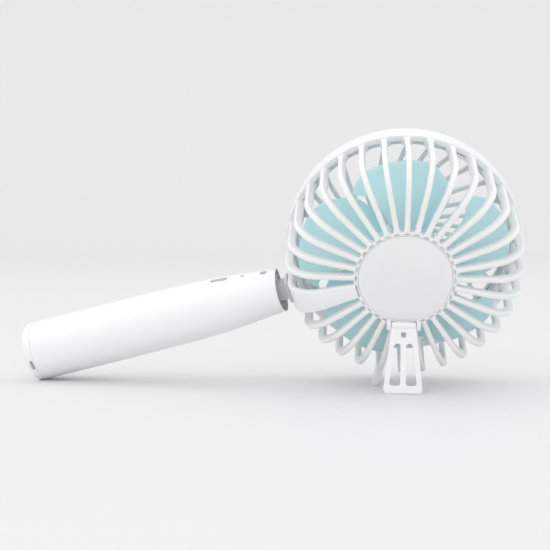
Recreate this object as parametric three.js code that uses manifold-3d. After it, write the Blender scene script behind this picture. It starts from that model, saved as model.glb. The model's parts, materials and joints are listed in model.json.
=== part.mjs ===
// Rechargeable handheld fan, set down in its desk position: it leans on the end of its handle,
// on the fold-out kickstand and on a small toe of the rear guard.
// Millimetres, +Z up. The fan is drawn upright in its own design frame and then laid down:
//   design +Y is forward, the way the air blows; "depth" is measured backwards from the rim ring
//   design -Z points down the handle; "reach" is measured from the head's axis down the handle
import * as THREE from 'three';
import { mergeVertices } from 'three/addons/utils/BufferGeometryUtils.js';
import Module from 'manifold-3d';

const wasm = await Module();
wasm.setup();

// ---- driving dimensions ----------------------------------------------------------------------

const gap = 0.3; // between pieces that touch or are fixed together
const runGap = 0.1; // radial clearance of a pin in its hole

const pose = {
  lean: 23.5, // the head blows this far above the horizontal, degrees
  roll: 74.1, // the handle is swung this far up from hanging straight down, degrees
  flat: 0.1, // depth of the small flat that the table side of the handle end has
};

const guard = {
  radius: 51.8, // outside of the ribs
  depth: 36, // rim ring to the back face
  shoulder: 14.5, // radius of the bend between side and back
  ribCount: 32,
  ribWidth: 2.3,
  ribDepth: 3.8,
  ringProud: 0.8, // how far the rim ring stands out over the ribs
  ringWall: 3,
  ringHeight: 2.6,
  hubRadius: 21.8,
  hubPlate: 2,
  hubRim: 1.8, // radial width of the raised rim round the hub cap
  panelWall: 2,
};
const ringOuter = guard.radius + guard.ringProud;
const ringInner = ringOuter - guard.ringWall;
const hubFront = guard.depth - guard.hubRim - guard.hubPlate; // the motor is screwed to this face

const hubCap = { thickness: 1.2, sink: 0.2 };

const cover = {
  step: 0.2, // how far the cover's edge stands back from the rim ring's
  wall: 2.2,
  height: 8.4,
  round: 3.4,
  bars: 28,
  barWidth: 2,
  barDepth: 2.2,
  barSweep: 24, // angle between a bar and the radius it crosses, degrees
  border: 5.2, // radial width of the closed border round the grille
  band: 1.2, // radial width of the grille's own outer ring
  centre: 14.5,
  badgeRadius: 12.2,
  badgeHeight: 1,
  tabs: 4,
  tabWidth: 7,
  tabLength: 2.2,
  tabThickness: 1.5,
};
const coverOuter = ringOuter - cover.step;
const grilleRadius = coverOuter - cover.border;
const tabWayDepth = cover.tabLength + gap; // room inside the rim ring for the cover's tabs to turn in

const motor = {
  shaftRadius: 0.95,
  shaftFront: 10.2,
  tubeWall: 0.9,
  bearingRadius: 3.2,
  tubeFront: 14.4,
  baseInset: 0.4, // the base plate and the board stand inside the cup's edge by these
  boardInset: 1.4,
  baseThickness: 2,
  bearingWidth: 3,
  airGap: 1.4, // between the stator and the magnets
  statorFront: 17,
  statorLength: 8,
  statorTeeth: 9,
  boardThickness: 1.2,
  boardLift: 1.3, // from the base plate to the back of the board
  magnetWall: 1.3,
  magnetLength: 9.6,
  screws: 3,
  screwInset: 4,
  screwRadius: 1,
  screwHead: 1.9,
};
const tubeInner = motor.bearingRadius + runGap;
const tubeOuter = tubeInner + motor.tubeWall;
const basePlateFront = hubFront - gap - motor.baseThickness;
const shaftBack = basePlateFront - gap - 0.6;

const impeller = {
  blades: 5,
  tipGap: 5.4, // from a blade's tip to the outside of the ribs
  cupRadius: 16,
  cupWall: 1.6,
  cupFront: 9, // depth of the cup's front face
  cupClear: 2.9, // from the cup's open end to the motor's base plate
  nose: 2.4,
  bossRadius: 3.2,
  bladeMid: 17, // depth of the middle of a blade
  rootTwist: 13,
  tipTwist: 9,
  chord: 60, // degrees of arc that a blade covers
  sweep: 16,
  phase: -9, // where the first blade stands, degrees
  thickness: 1.5,
};
const bladeTip = guard.radius - impeller.tipGap;
const magnetOuter = impeller.cupRadius - impeller.cupWall - gap;
const statorOuter = magnetOuter - motor.magnetWall - motor.airGap;
const baseRadius = impeller.cupRadius - motor.baseInset;
const motorBoardRadius = impeller.cupRadius - motor.boardInset;
const screwCircle = baseRadius - motor.screwInset;
const cupBack = basePlateFront - impeller.cupClear;

const stand = {
  place: 6.5, // rib pitches between the handle and the kickstand
  hingeInset: 0.6, // from the hub's edge in to the hinge axis
  hingeLift: 2, // height of the hinge axis over the back face
  length: 28.6,
  open: 31, // degrees between the open stand and the back face
  thickness: 2.2,
  topWidth: 10.4,
  footWidth: 17.2,
  bar: 2.3,
  footBar: 3,
  plate: 7.6,
  corner: 1.2,
  window: 2.2,
  barrel: 1.6,
  pinRadius: 0.7,
  earWidth: 1.8,
};
const standHinge = guard.hubRadius - stand.hingeInset;

const toe = { proud: 6.2, width: 3, front: 11, back: 4.5 }; // front and back measured from the back face
const toeReach = guard.radius + toe.proud;

const tongue = { width: 7.4, thickness: 7, tail: 3.5, baseWidth: 10.4, baseDepth: 9.6, base: 1.1 };

const washer = { radius: 3.2, thickness: 1 };

const cell = { radius: 9.2, length: 65, room: 3.6, capRadius: 3, cap: 1.2 };

const board = { width: 13, length: 23, room: 2.5, thickness: 1.2, offset: 2.9 };

const contact = { thickness: 0.5, radius: 7.4, springRoom: 7.2 };

const handle = {
  depth: 15.5, // depth of the handle's axis behind the rim ring
  neckGap: 5.2, // from the ribs to the hollow neck end
  pinGap: 9.8, // from the ribs to the tilt hinge
  neckRadius: 9.7,
  wall: 1.9,
  sledRoom: 2.2, // between the cell and the inside of the wall
  cupRadius: 8.1,
  cupFloor: 5, // from the tilt hinge to the bottom of the neck cup
  floor: 2.9, // thickness of the wall between the neck cup and the hollow grip
  capLength: 4.1, // how much of the end cap is in sight
  capFloor: 5.9,
  skirt: 7.2,
  skirtWall: 1.3,
  endRound: 3.4,
};
const gripRadius = cell.radius + gap + handle.sledRoom + handle.wall;
const neckCut = guard.radius + handle.neckGap;
const neckReach = neckCut - 0.8;
const pinReach = guard.radius + handle.pinGap;
const cupEnd = pinReach + handle.cupFloor;
const hollowStart = cupEnd + handle.floor;
const boardStart = hollowStart + board.room;
const boardEnd = boardStart + board.length;
const cellStart = boardEnd + cell.room;
const cellEnd = cellStart + cell.length;
const contactReach = cellEnd + contact.springRoom;
const capInside = contactReach + contact.thickness + gap;
const endReach = capInside + handle.capFloor;
const shellEnd = endReach - handle.capLength;

const neckPin = { radius: 1.5, sink: 0.5 };

const neckScrew = { shank: 1.1, head: 2.3, headHeight: 1.2, bite: 3.2 };

const socket = { place: 10, length: 7.4, height: 2.7, corner: 1.2, recess: 1.1, wall: 0.6 };
const socketReach = boardStart + socket.place;

const button = { place: 16, radius: 4.3, slot: 0.3, proud: 0.7, travel: 0.8, flange: 5.6, flangeDrop: 2.9 };
const buttonReach = boardStart + button.place;

const lamp = { radius: 0.8, length: 4.2 };
const lampReach = boardStart - lamp.radius;

const strap = { width: 4.6, height: 1.5, depth: 5, inset: 1.9 };

const spring = { coilRadius: 3.6, wire: 0.35, turns: 3 };

// ---- finishes --------------------------------------------------------------------------------

const finishes = {
  white: { color: 0xf1f1f0, roughness: 0.38, metalness: 0 },
  hub: { color: 0xe4e4e4, roughness: 0.5, metalness: 0 },
  mint: { color: 0x9fd6da, roughness: 0.3, metalness: 0 },
  dark: { color: 0x2b2d30, roughness: 0.55, metalness: 0.2 },
  steel: { color: 0xb9bcc0, roughness: 0.3, metalness: 1 },
  copper: { color: 0xb87a3d, roughness: 0.4, metalness: 0.9 },
  wrap: { color: 0x2f6fb0, roughness: 0.45, metalness: 0 },
  board: { color: 0x1f6b3a, roughness: 0.6, metalness: 0 },
  lens: { color: 0xf7f9fb, roughness: 0.2, metalness: 0 },
};

// ---- solids ----------------------------------------------------------------------------------

const rad = THREE.MathUtils.degToRad;

// A closed mesh becomes a solid that can be joined and cut.
function solid(geometry) {
  const bare = geometry.clone();
  bare.deleteAttribute('normal');
  bare.deleteAttribute('uv');
  const merged = mergeVertices(bare, 1e-5);
  return new wasm.Manifold(new wasm.Mesh({
    numProp: 3,
    vertProperties: new Float32Array(merged.attributes.position.array),
    triVerts: new Uint32Array(merged.index.array),
  }));
}

// A solid becomes geometry for a mesh.
function geometryOf(body) {
  const mesh = body.getMesh();
  const geometry = new THREE.BufferGeometry();
  geometry.setAttribute('position', new THREE.BufferAttribute(new Float32Array(mesh.vertProperties), 3));
  geometry.setIndex(new THREE.BufferAttribute(new Uint32Array(mesh.triVerts), 1));
  geometry.computeVertexNormals();
  return geometry;
}

function join(solids) {
  return solids.reduce((all, next) => all.add(next));
}

function cut(body, tools) {
  return tools.reduce((rest, tool) => rest.subtract(tool), body);
}

// A box between two corners.
function boxBetween(low, high) {
  const size = high.map((value, axis) => value - low[axis]);
  const geometry = new THREE.BoxGeometry(...size);
  geometry.translate(...low.map((value, axis) => value + size[axis] / 2));
  return geometry;
}

// A round bar along the head's axis between two depths.
function roundAlongY(radius, front, back, segments = 48) {
  const geometry = new THREE.CylinderGeometry(radius, radius, back - front, segments);
  geometry.translate(0, -(front + back) / 2, 0);
  return geometry;
}

// A ring about the head's axis; the profile is a list of [radius, depth] corners.
function ringAlongY(corners, segments = 64) {
  const points = corners.map(([radius, depth]) => new THREE.Vector2(radius, -depth));
  return turned(points, segments);
}

// Revolves a closed or axis-to-axis profile and makes sure that its faces point out.
function turned(points, segments) {
  const onAxis = points[0].x === 0 && points.at(-1).x === 0;
  const loop = onAxis ? points : [...points, points[0].clone()];
  const area = THREE.ShapeUtils.area(points);
  const ordered = area > 0 ? loop : [...loop].reverse();
  return new THREE.LatheGeometry(ordered, segments);
}

// Turns a piece drawn about +Y so that it stands along the handle, +Y becoming +Z.
function alongHandle(geometry) {
  return geometry.rotateX(Math.PI / 2);
}

// A round bar along the handle between two reaches.
function roundAlongHandle(radius, from, to, segments = 48) {
  const geometry = new THREE.CylinderGeometry(radius, radius, to - from, segments);
  geometry.rotateX(Math.PI / 2);
  geometry.translate(0, 0, -(from + to) / 2);
  return geometry;
}

// A round bar along X centred on a point of the handle's middle plane.
function roundAlongX(radius, from, to, reach, segments = 24) {
  const geometry = new THREE.CylinderGeometry(radius, radius, to - from, segments);
  geometry.rotateZ(Math.PI / 2);
  geometry.translate((from + to) / 2, 0, -reach);
  return geometry;
}

// ---- assembly helpers ------------------------------------------------------------------------

const fan = new THREE.Group();
const headGroup = new THREE.Group();
const handleGroup = new THREE.Group();
handleGroup.position.set(0, -handle.depth, 0);
fan.add(headGroup, handleGroup);

function piece(parent, name, body, finish) {
  const geometry = body instanceof THREE.BufferGeometry ? body : geometryOf(body);
  const mesh = new THREE.Mesh(geometry, new THREE.MeshStandardMaterial(finishes[finish]));
  mesh.name = name;
  parent.add(mesh);
  return mesh;
}

// ---- rest pose -------------------------------------------------------------------------------

const layDown = new THREE.Quaternion().setFromEuler(
  new THREE.Euler(rad(pose.lean), rad(pose.roll), 0, 'XYZ'),
);

// Height of the head's centre over the table when the rounded handle end touches it.
function restHeight() {
  const down = new THREE.Vector3(0, 0, -1).applyQuaternion(layDown);
  const back = new THREE.Vector3(0, -1, 0).applyQuaternion(layDown);
  const edge = gripRadius - handle.endRound;
  const centre = down.z * (endReach - handle.endRound) + back.z * handle.depth;
  return edge * Math.sqrt(1 - down.z * down.z) + handle.endRound - centre - pose.flat;
}

const placed = new THREE.Matrix4().compose(
  new THREE.Vector3(0, 0, restHeight()),
  layDown,
  new THREE.Vector3(1, 1, 1),
);

// The space under the table top, in a group's own frame; feet are trimmed flush with it.
function underTable(groupMatrix) {
  const slab = boxBetween([-400, -400, -60], [400, 400, 0]);
  const toGroup = placed.clone().multiply(groupMatrix).invert();
  return solid(slab.applyMatrix4(toGroup));
}

// ---- rear guard ------------------------------------------------------------------------------

const pitch = 360 / guard.ribCount;
const handleAngle = 90; // turning a piece drawn along +X by this points it down the handle
const standAngle = handleAngle - stand.place * pitch;

// Outline of the guard's side, bend and back, offset inwards by a wall.
function guardEdge(inset, startDepth) {
  const bend = guard.shoulder - inset;
  const centreRadius = guard.radius - guard.shoulder;
  const centreDepth = guard.depth - guard.shoulder;
  const points = [[guard.radius - inset, startDepth]];
  const steps = 5;
  for (let i = 0; i <= steps; i += 1) {
    const turn = (i / steps) * Math.PI / 2;
    points.push([centreRadius + bend * Math.cos(turn), centreDepth + bend * Math.sin(turn)]);
  }
  points.push([guard.hubRadius - 1, guard.depth - inset]);
  return points;
}

// A plate that follows the guard's outline, centred on +X and then turned to its place.
function guardPlate(wall, width, angle, startDepth) {
  const outline = [...guardEdge(0, startDepth), ...guardEdge(wall, startDepth).reverse()];
  const shape = new THREE.Shape(outline.map(([radius, depth]) => new THREE.Vector2(radius, -depth)));
  const geometry = new THREE.ExtrudeGeometry(shape, { depth: width, bevelEnabled: false });
  geometry.translate(0, 0, -width / 2);
  geometry.rotateY(rad(angle));
  return solid(geometry);
}

function ribAngle(index) {
  return handleAngle + (index + 0.5) * pitch;
}

// The closed petal between the two ribs that face the handle.
function petal() {
  const half = pitch / 2;
  const shell = solid(ringAlongY([...guardEdge(0, 1), ...guardEdge(guard.panelWall, 1).reverse()], 72));
  const outer = guard.radius * 1.3;
  const wedge = new THREE.Shape([
    new THREE.Vector2(0, 0),
    new THREE.Vector2(outer * Math.cos(rad(half)), outer * Math.sin(rad(half))),
    new THREE.Vector2(outer * Math.cos(rad(half)), -outer * Math.sin(rad(half))),
  ]);
  const block = new THREE.ExtrudeGeometry(wedge, { depth: guard.depth * 1.5, bevelEnabled: false });
  block.rotateX(Math.PI / 2);
  block.rotateY(rad(handleAngle));
  return shell.intersect(solid(block));
}

function ears() {
  const inner = stand.topWidth / 2 + gap;
  const low = guard.depth - guard.hubPlate;
  const high = guard.depth + stand.hingeLift + stand.barrel;
  return [-1, 1].map((side) => {
    const near = side * inner;
    const far = side * (inner + stand.earWidth);
    const ear = boxBetween(
      [standHinge - stand.barrel, -high, Math.min(near, far)],
      [standHinge + stand.barrel, -low, Math.max(near, far)],
    );
    return solid(ear.rotateY(rad(standAngle)));
  });
}

// The pin bore of the kickstand hinge, or the pin itself.
function standPin(radius, length) {
  const geometry = new THREE.CylinderGeometry(radius, radius, length, 20);
  geometry.rotateX(Math.PI / 2);
  geometry.translate(standHinge, -(guard.depth + stand.hingeLift), 0);
  return solid(geometry.rotateY(rad(standAngle)));
}

// The toe is a lug on the rib beside the kickstand, on the handle's side.
function toeLug() {
  const inner = guard.radius - guard.shoulder / 2;
  const front = -(guard.depth - toe.front);
  const back = -(guard.depth - toe.back);
  const lug = boxBetween([inner, back, -toe.width / 2], [toeReach, front, toe.width / 2]);
  const heel = boxBetween(
    [guard.radius - guard.shoulder, -guard.depth, -toe.width / 2],
    [toeReach, front, toe.width / 2],
  );
  const angle = rad(standAngle + pitch);
  const slope = new THREE.Shape([
    new THREE.Vector2(guard.radius - guard.shoulder, -guard.depth),
    new THREE.Vector2(toeReach, back),
    new THREE.Vector2(toeReach, front),
    new THREE.Vector2(inner, front),
  ]);
  const wedge = new THREE.ExtrudeGeometry(slope, { depth: toe.width, bevelEnabled: false });
  wedge.translate(0, 0, -toe.width / 2);
  const block = solid(lug).add(solid(wedge)).intersect(solid(heel));
  const turned90 = geometryOf(block).rotateY(angle);
  return solid(turned90).subtract(underTable(new THREE.Matrix4()));
}

// Ring, ribs, petal, hub and lugs in one moulding.
function rearGuard() {
  const ring = solid(ringAlongY([
    [ringInner, 0],
    [ringOuter, 0],
    [ringOuter, guard.ringHeight],
    [ringInner, guard.ringHeight],
  ], 72));
  const tabWay = solid(ringAlongY([
    [0, -1],
    [ringInner, -1],
    [ringInner, tabWayDepth],
    [0, tabWayDepth],
  ], 72));
  const capSeat = guard.depth - guard.hubPlate + gap;
  const hub = solid(roundAlongY(guard.hubRadius, hubFront, guard.depth, 64));
  const seat = solid(roundAlongY(guard.hubRadius - guard.hubRim, capSeat, guard.depth + 1, 64));
  const ribs = [];
  for (let index = 0; index < guard.ribCount; index += 1) {
    ribs.push(guardPlate(guard.ribDepth, guard.ribWidth, ribAngle(index), 1));
  }
  const body = join([ring, hub, ...ribs, petal(), toeLug(), ...ears()]);
  const screwHoles = motorScrewPlaces().map(([x, z]) => {
    const hole = roundAlongY(motor.screwRadius + runGap, hubFront - 1, guard.depth, 16);
    return solid(hole.translate(x, 0, z));
  });
  return cut(body, [
    seat,
    tabWay,
    ...screwHoles,
    standPin(stand.pinRadius + runGap, 60),
    neckScrewInHead(runGap),
  ]);
}

function motorScrewPlaces() {
  return Array.from({ length: motor.screws }, (_, index) => {
    const turn = (index / motor.screws) * 2 * Math.PI;
    return [screwCircle * Math.cos(turn), screwCircle * Math.sin(turn)];
  });
}

function hubDisc() {
  const radius = guard.hubRadius - guard.hubRim - gap;
  const back = guard.depth - hubCap.sink;
  return roundAlongY(radius, back - hubCap.thickness, back, 64);
}

// ---- front cover -----------------------------------------------------------------------------

// One bar sweeps from the centre to the grille's ring, crossing every radius at the same angle.
function coverBar(index) {
  const inner = cover.centre - 1;
  const outer = grilleRadius - gap - cover.band / 2;
  const slope = Math.tan(rad(cover.barSweep));
  const steps = 4;
  const sides = [[], []];
  for (let i = 0; i <= steps; i += 1) {
    const radius = inner + (outer - inner) * (i / steps);
    const turn = slope * Math.log(radius / inner);
    const half = (cover.barWidth / 2) / Math.cos(rad(cover.barSweep)) / radius;
    sides.forEach((side, which) => {
      const angle = turn + (which === 0 ? half : -half);
      side.push(new THREE.Vector2(radius * Math.cos(angle), radius * Math.sin(angle)));
    });
  }
  const shape = new THREE.Shape([...sides[1], ...sides[0].reverse()]);
  const geometry = new THREE.ExtrudeGeometry(shape, { depth: cover.barDepth, bevelEnabled: false });
  geometry.rotateX(-Math.PI / 2);
  geometry.translate(0, cover.height - cover.barDepth, 0);
  geometry.rotateY((index / cover.bars) * 2 * Math.PI);
  return solid(geometry);
}

function coverTab(index) {
  const outer = ringInner - gap;
  const tab = boxBetween(
    [outer - cover.tabThickness, -cover.tabLength, -cover.tabWidth / 2],
    [outer - 0.1, gap + 1.4, cover.tabWidth / 2],
  );
  return solid(tab.rotateY(rad(45) + (index / cover.tabs) * 2 * Math.PI));
}

function frontCover() {
  const inside = coverOuter - cover.wall;
  const lip = grilleRadius;
  const rim = solid(ringAlongY([
    [inside, -gap],
    [coverOuter, -gap],
    [coverOuter, -(cover.height - cover.round)],
    [coverOuter - 0.35 * cover.round, -(cover.height - 0.3 * cover.round)],
    [coverOuter - cover.round, -cover.height],
    [lip, -cover.height],
    [lip, -(cover.height - cover.barDepth)],
    [inside - 0.8, -(cover.height - cover.barDepth - 0.6)],
  ], 72));
  const seatRing = solid(ringAlongY([
    [ringInner - gap - cover.tabThickness, -gap],
    [inside + 0.4, -gap],
    [inside + 0.4, -(gap + 1.6)],
    [ringInner - gap - cover.tabThickness, -(gap + 1.6)],
  ], 72));
  const tabs = Array.from({ length: cover.tabs }, (_, index) => coverTab(index));
  return join([rim, seatRing, ...tabs]);
}

// The flat grille, set into the border of the cover.
function frontGrille() {
  const front = -cover.height;
  const back = -(cover.height - cover.barDepth);
  const edge = grilleRadius - gap;
  const centre = solid(roundAlongY(cover.centre, front, back, 48));
  const bars = Array.from({ length: cover.bars }, (_, index) => coverBar(index));
  const band = solid(ringAlongY([
    [edge - cover.band, front],
    [edge, front],
    [edge, back],
    [edge - cover.band, back],
  ], 72));
  return join([centre, band, ...bars]);
}

function coverBadge() {
  const back = -(cover.height + gap);
  return ringAlongY([
    [0, back - cover.badgeHeight],
    [cover.badgeRadius - cover.badgeHeight, back - cover.badgeHeight],
    [cover.badgeRadius, back - 0.2],
    [cover.badgeRadius, back],
    [0, back],
  ], 48);
}

// ---- impeller --------------------------------------------------------------------------------

// A blade is a twisted sheet: round the axis along its chord, sinking in depth from edge to edge.
function blade(index) {
  const across = 6;
  const along = 5;
  const positions = [];
  const place = (i, j, side) => {
    const s = i / across - 0.5;
    const t = j / along;
    const radius = impeller.cupRadius - impeller.cupWall / 2 + (bladeTip - impeller.cupRadius) * t;
    const taper = 1 - 0.16 * Math.pow(2 * s, 4) * t;
    const turn = rad(impeller.chord) * s + rad(impeller.sweep) * t * t;
    const twist = THREE.MathUtils.lerp(impeller.rootTwist, impeller.tipTwist, t);
    const depth = impeller.bladeMid + twist * s + 1.6 * (0.25 - s * s) + side * impeller.thickness / 2;
    const reach = radius * (t > 0.5 ? THREE.MathUtils.lerp(1, taper, 2 * t - 1) : 1);
    return [reach * Math.cos(turn), -depth, reach * Math.sin(turn)];
  };
  const index2 = (i, j, side) => (side * (along + 1) + j) * (across + 1) + i;
  for (let side = 0; side < 2; side += 1) {
    for (let j = 0; j <= along; j += 1) {
      for (let i = 0; i <= across; i += 1) positions.push(...place(i, j, side === 0 ? -1 : 1));
    }
  }
  const faces = [];
  const quad = (a, b, c, d) => faces.push(a, c, b, a, d, c);
  for (let j = 0; j < along; j += 1) {
    for (let i = 0; i < across; i += 1) {
      quad(index2(i, j, 0), index2(i, j + 1, 0), index2(i + 1, j + 1, 0), index2(i + 1, j, 0));
      quad(index2(i, j, 1), index2(i + 1, j, 1), index2(i + 1, j + 1, 1), index2(i, j + 1, 1));
    }
    quad(index2(0, j, 0), index2(0, j, 1), index2(0, j + 1, 1), index2(0, j + 1, 0));
    quad(index2(across, j, 0), index2(across, j + 1, 0), index2(across, j + 1, 1), index2(across, j, 1));
  }
  for (let i = 0; i < across; i += 1) {
    quad(index2(i, 0, 0), index2(i + 1, 0, 0), index2(i + 1, 0, 1), index2(i, 0, 1));
    quad(index2(i, along, 0), index2(i, along, 1), index2(i + 1, along, 1), index2(i + 1, along, 0));
  }
  const geometry = new THREE.BufferGeometry();
  geometry.setAttribute('position', new THREE.Float32BufferAttribute(positions, 3));
  geometry.setIndex(faces);
  geometry.rotateY(rad(impeller.phase) + (index / impeller.blades) * 2 * Math.PI);
  return solid(geometry);
}

function impellerBody() {
  const inside = impeller.cupRadius - impeller.cupWall;
  const front = impeller.cupFront;
  const cup = solid(ringAlongY([
    [0, front - impeller.nose],
    [impeller.cupRadius * 0.6, front - impeller.nose * 0.8],
    [impeller.cupRadius * 0.9, front - impeller.nose * 0.2],
    [impeller.cupRadius, front + 1.2],
    [impeller.cupRadius, cupBack],
    [inside, cupBack],
    [inside, front + 2.4],
    [impeller.bossRadius, front + 1.6],
    [impeller.bossRadius, motor.tubeFront - 2 * gap],
    [0, motor.tubeFront - 2 * gap],
  ], 48));
  const boreRadius = motor.shaftRadius + runGap;
  const bore = solid(roundAlongY(boreRadius, motor.shaftFront - gap, motor.tubeFront + 1, 20));
  const blades = Array.from({ length: impeller.blades }, (_, index) => blade(index));
  const hollow = solid(roundAlongY(inside, front + 2.4, cupBack + 4, 48))
    .subtract(solid(roundAlongY(impeller.bossRadius, front + 1, motor.tubeFront - 2 * gap, 48)));
  return cut(join([cup, ...blades.map((one) => one.subtract(hollow))]), [bore]);
}

// ---- motor -----------------------------------------------------------------------------------

function motorBase() {
  const plateBack = hubFront - gap;
  const plateFront = plateBack - motor.baseThickness;
  const body = solid(ringAlongY([
    [tubeInner, motor.tubeFront],
    [tubeOuter, motor.tubeFront],
    [tubeOuter, plateFront],
    [baseRadius, plateFront],
    [baseRadius, plateBack],
    [tubeInner - 1.6, plateBack],
    [tubeInner - 1.6, plateFront],
    [tubeInner, plateFront],
  ], 48));
  const holes = motorScrewPlaces().map(([x, z]) => {
    const hole = roundAlongY(motor.screwRadius + runGap, plateFront - 1, plateBack + 1, 16);
    return solid(hole.translate(x, 0, z));
  });
  return cut(body, holes);
}

function bearing(front) {
  return ringAlongY([
    [motor.shaftRadius + runGap, front],
    [tubeInner - runGap, front],
    [tubeInner - runGap, front + motor.bearingWidth],
    [motor.shaftRadius + runGap, front + motor.bearingWidth],
  ], 24);
}

// The stator is a stack with one tooth for each coil.
function stator() {
  const teeth = motor.statorTeeth;
  const ring = tubeOuter + gap;
  const shape = new THREE.Shape();
  const corner = (radius, angle) => new THREE.Vector2(radius * Math.cos(angle), radius * Math.sin(angle));
  const points = [];
  for (let tooth = 0; tooth < teeth; tooth += 1) {
    const middle = (tooth / teeth) * 2 * Math.PI;
    const step = (2 * Math.PI) / teeth;
    points.push(corner(ring + 1.8, middle - step * 0.42));
    points.push(corner(statorOuter - 1.6, middle - step * 0.2));
    points.push(corner(statorOuter - 1.2, middle - step * 0.42));
    points.push(corner(statorOuter, middle - step * 0.4));
    points.push(corner(statorOuter, middle));
    points.push(corner(statorOuter, middle + step * 0.4));
    points.push(corner(statorOuter - 1.2, middle + step * 0.42));
    points.push(corner(statorOuter - 1.6, middle + step * 0.2));
    points.push(corner(ring + 1.8, middle + step * 0.42));
  }
  shape.setFromPoints(points);
  shape.holes.push(new THREE.Path().absarc(0, 0, ring, 0, 2 * Math.PI, true));
  const geometry = new THREE.ExtrudeGeometry(shape, {
    depth: motor.statorLength,
    bevelEnabled: false,
    curveSegments: 18,
  });
  geometry.rotateX(Math.PI / 2);
  geometry.translate(0, -motor.statorFront, 0);
  return solid(geometry);
}

function motorBoard() {
  const back = basePlateFront - motor.boardLift;
  const front = back - motor.boardThickness;
  const body = solid(ringAlongY([
    [tubeOuter + gap, front],
    [motorBoardRadius, front],
    [motorBoardRadius, back],
    [tubeOuter + gap, back],
  ], 48));
  const holes = motorScrewPlaces().map(([x, z]) => {
    const hole = roundAlongY(motor.screwHead + gap, front - 1, back + 1, 16);
    return solid(hole.translate(x, 0, z));
  });
  return cut(body, holes);
}

function magnetRing() {
  const outer = magnetOuter;
  const back = cupBack - 1;
  const front = back - motor.magnetLength;
  return ringAlongY([
    [outer - motor.magnetWall, front],
    [outer, front],
    [outer, back],
    [outer - motor.magnetWall, back],
  ], 48);
}

// Screws hold the motor base to the hub from the inside.
function motorScrew([x, z]) {
  const seat = hubFront - 2 * gap - motor.baseThickness;
  const tip = guard.depth - guard.hubPlate;
  const profile = [
    [0, seat - 1.1],
    [motor.screwHead, seat - 0.9],
    [motor.screwHead, seat],
    [motor.screwRadius, seat],
    [motor.screwRadius, tip],
    [0, tip],
  ];
  return ringAlongY(profile, 16).translate(x, 0, z);
}

// ---- kickstand -------------------------------------------------------------------------------

function roundedPath(target, points, radius) {
  points.forEach(([x, y], index) => {
    const [px, py] = points.at(index - 1);
    const [nx, ny] = points[(index + 1) % points.length];
    const back = new THREE.Vector2(px - x, py - y).normalize().multiplyScalar(radius);
    const ahead = new THREE.Vector2(nx - x, ny - y).normalize().multiplyScalar(radius);
    if (index === 0) target.moveTo(x + back.x, y + back.y);
    else target.lineTo(x + back.x, y + back.y);
    target.quadraticCurveTo(x, y, x + ahead.x, y + ahead.y);
  });
  target.closePath();
  return target;
}

function standWidth(x) {
  return THREE.MathUtils.lerp(stand.topWidth, stand.footWidth, x / stand.length);
}

// The stand is drawn flat: x runs from the hinge to the foot and y across.
function kickstand(underStand) {
  const end = stand.length + 1.2;
  const shape = roundedPath(new THREE.Shape(), [
    [0, -stand.topWidth / 2],
    [end, -standWidth(end) / 2],
    [end, standWidth(end) / 2],
    [0, stand.topWidth / 2],
  ], stand.corner);
  const slotStart = stand.plate;
  const slotEnd = stand.length - stand.footBar;
  [-1, 1].forEach((side) => {
    const near = side * stand.bar / 2;
    const farStart = side * (standWidth(slotStart) / 2 - stand.bar);
    const farEnd = side * (standWidth(slotEnd) / 2 - stand.bar);
    const points = [[slotStart, near], [slotEnd, near], [slotEnd, farEnd], [slotStart, farStart]];
    const ordered = side > 0 ? points : points.reverse();
    shape.holes.push(roundedPath(new THREE.Path(), ordered, 0.9));
  });
  const windowStart = stand.barrel + 1.2;
  const half = stand.window / 2;
  shape.holes.push(roundedPath(new THREE.Path(), [
    [windowStart, -half],
    [windowStart + stand.window, -half],
    [windowStart + stand.window, half],
    [windowStart, half],
  ], 0.3));
  const plate = new THREE.ExtrudeGeometry(shape, {
    depth: stand.thickness,
    bevelEnabled: false,
    curveSegments: 4,
  });
  plate.translate(0, 0, -stand.thickness / 2);
  plate.rotateX(Math.PI / 2);
  const barrel = new THREE.CylinderGeometry(stand.barrel, stand.barrel, stand.topWidth, 24);
  barrel.rotateX(Math.PI / 2);
  const bore = new THREE.CylinderGeometry(stand.pinRadius + runGap, stand.pinRadius + runGap, 40, 20);
  bore.rotateX(Math.PI / 2);
  return cut(solid(plate).add(solid(barrel)), [solid(bore), underStand]);
}

// ---- neck ------------------------------------------------------------------------------------

const bracketStart = guard.radius + gap + 0.1;

// The bracket is screwed to the petal and ends in the tongue that the hinge pin goes through.
function neckBracket() {
  const half = [tongue.width / 2, tongue.thickness / 2];
  const base = boxBetween(
    [-tongue.baseWidth / 2, -tongue.baseDepth / 2, -(bracketStart + tongue.base)],
    [tongue.baseWidth / 2, tongue.baseDepth / 2, -bracketStart],
  );
  const arm = boxBetween(
    [-half[0], -half[1], -pinReach],
    [half[0], half[1], -(bracketStart + tongue.base / 2)],
  );
  const tail = roundAlongX(tongue.tail, -half[0], half[0], pinReach, 32);
  const body = join([solid(base), solid(arm), solid(tail)]);
  return cut(body, [
    solid(roundAlongX(neckPin.radius + runGap, -20, 20, pinReach)),
    neckScrewInHandle(runGap),
  ]);
}

function neckScrewSolid(extra) {
  const seat = guard.radius - guard.panelWall - gap;
  const tip = pinReach - neckScrew.bite;
  const profile = [
    [0, seat - neckScrew.headHeight - extra],
    [neckScrew.head + extra, seat - neckScrew.headHeight - extra],
    [neckScrew.head + extra, seat],
    [neckScrew.shank + extra, seat],
    [neckScrew.shank + extra, tip + extra],
    [0, tip + extra],
  ];
  const points = profile.map(([radius, reach]) => new THREE.Vector2(radius, -reach));
  return alongHandle(turned(points, 16));
}

// The screw, or the hole for it, in the handle's frame and in the head's frame.
function neckScrewInHandle(extra) {
  return solid(neckScrewSolid(extra));
}

function neckScrewInHead(extra) {
  return solid(neckScrewSolid(extra).translate(0, -handle.depth, 0));
}

// ---- handle ----------------------------------------------------------------------------------

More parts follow.
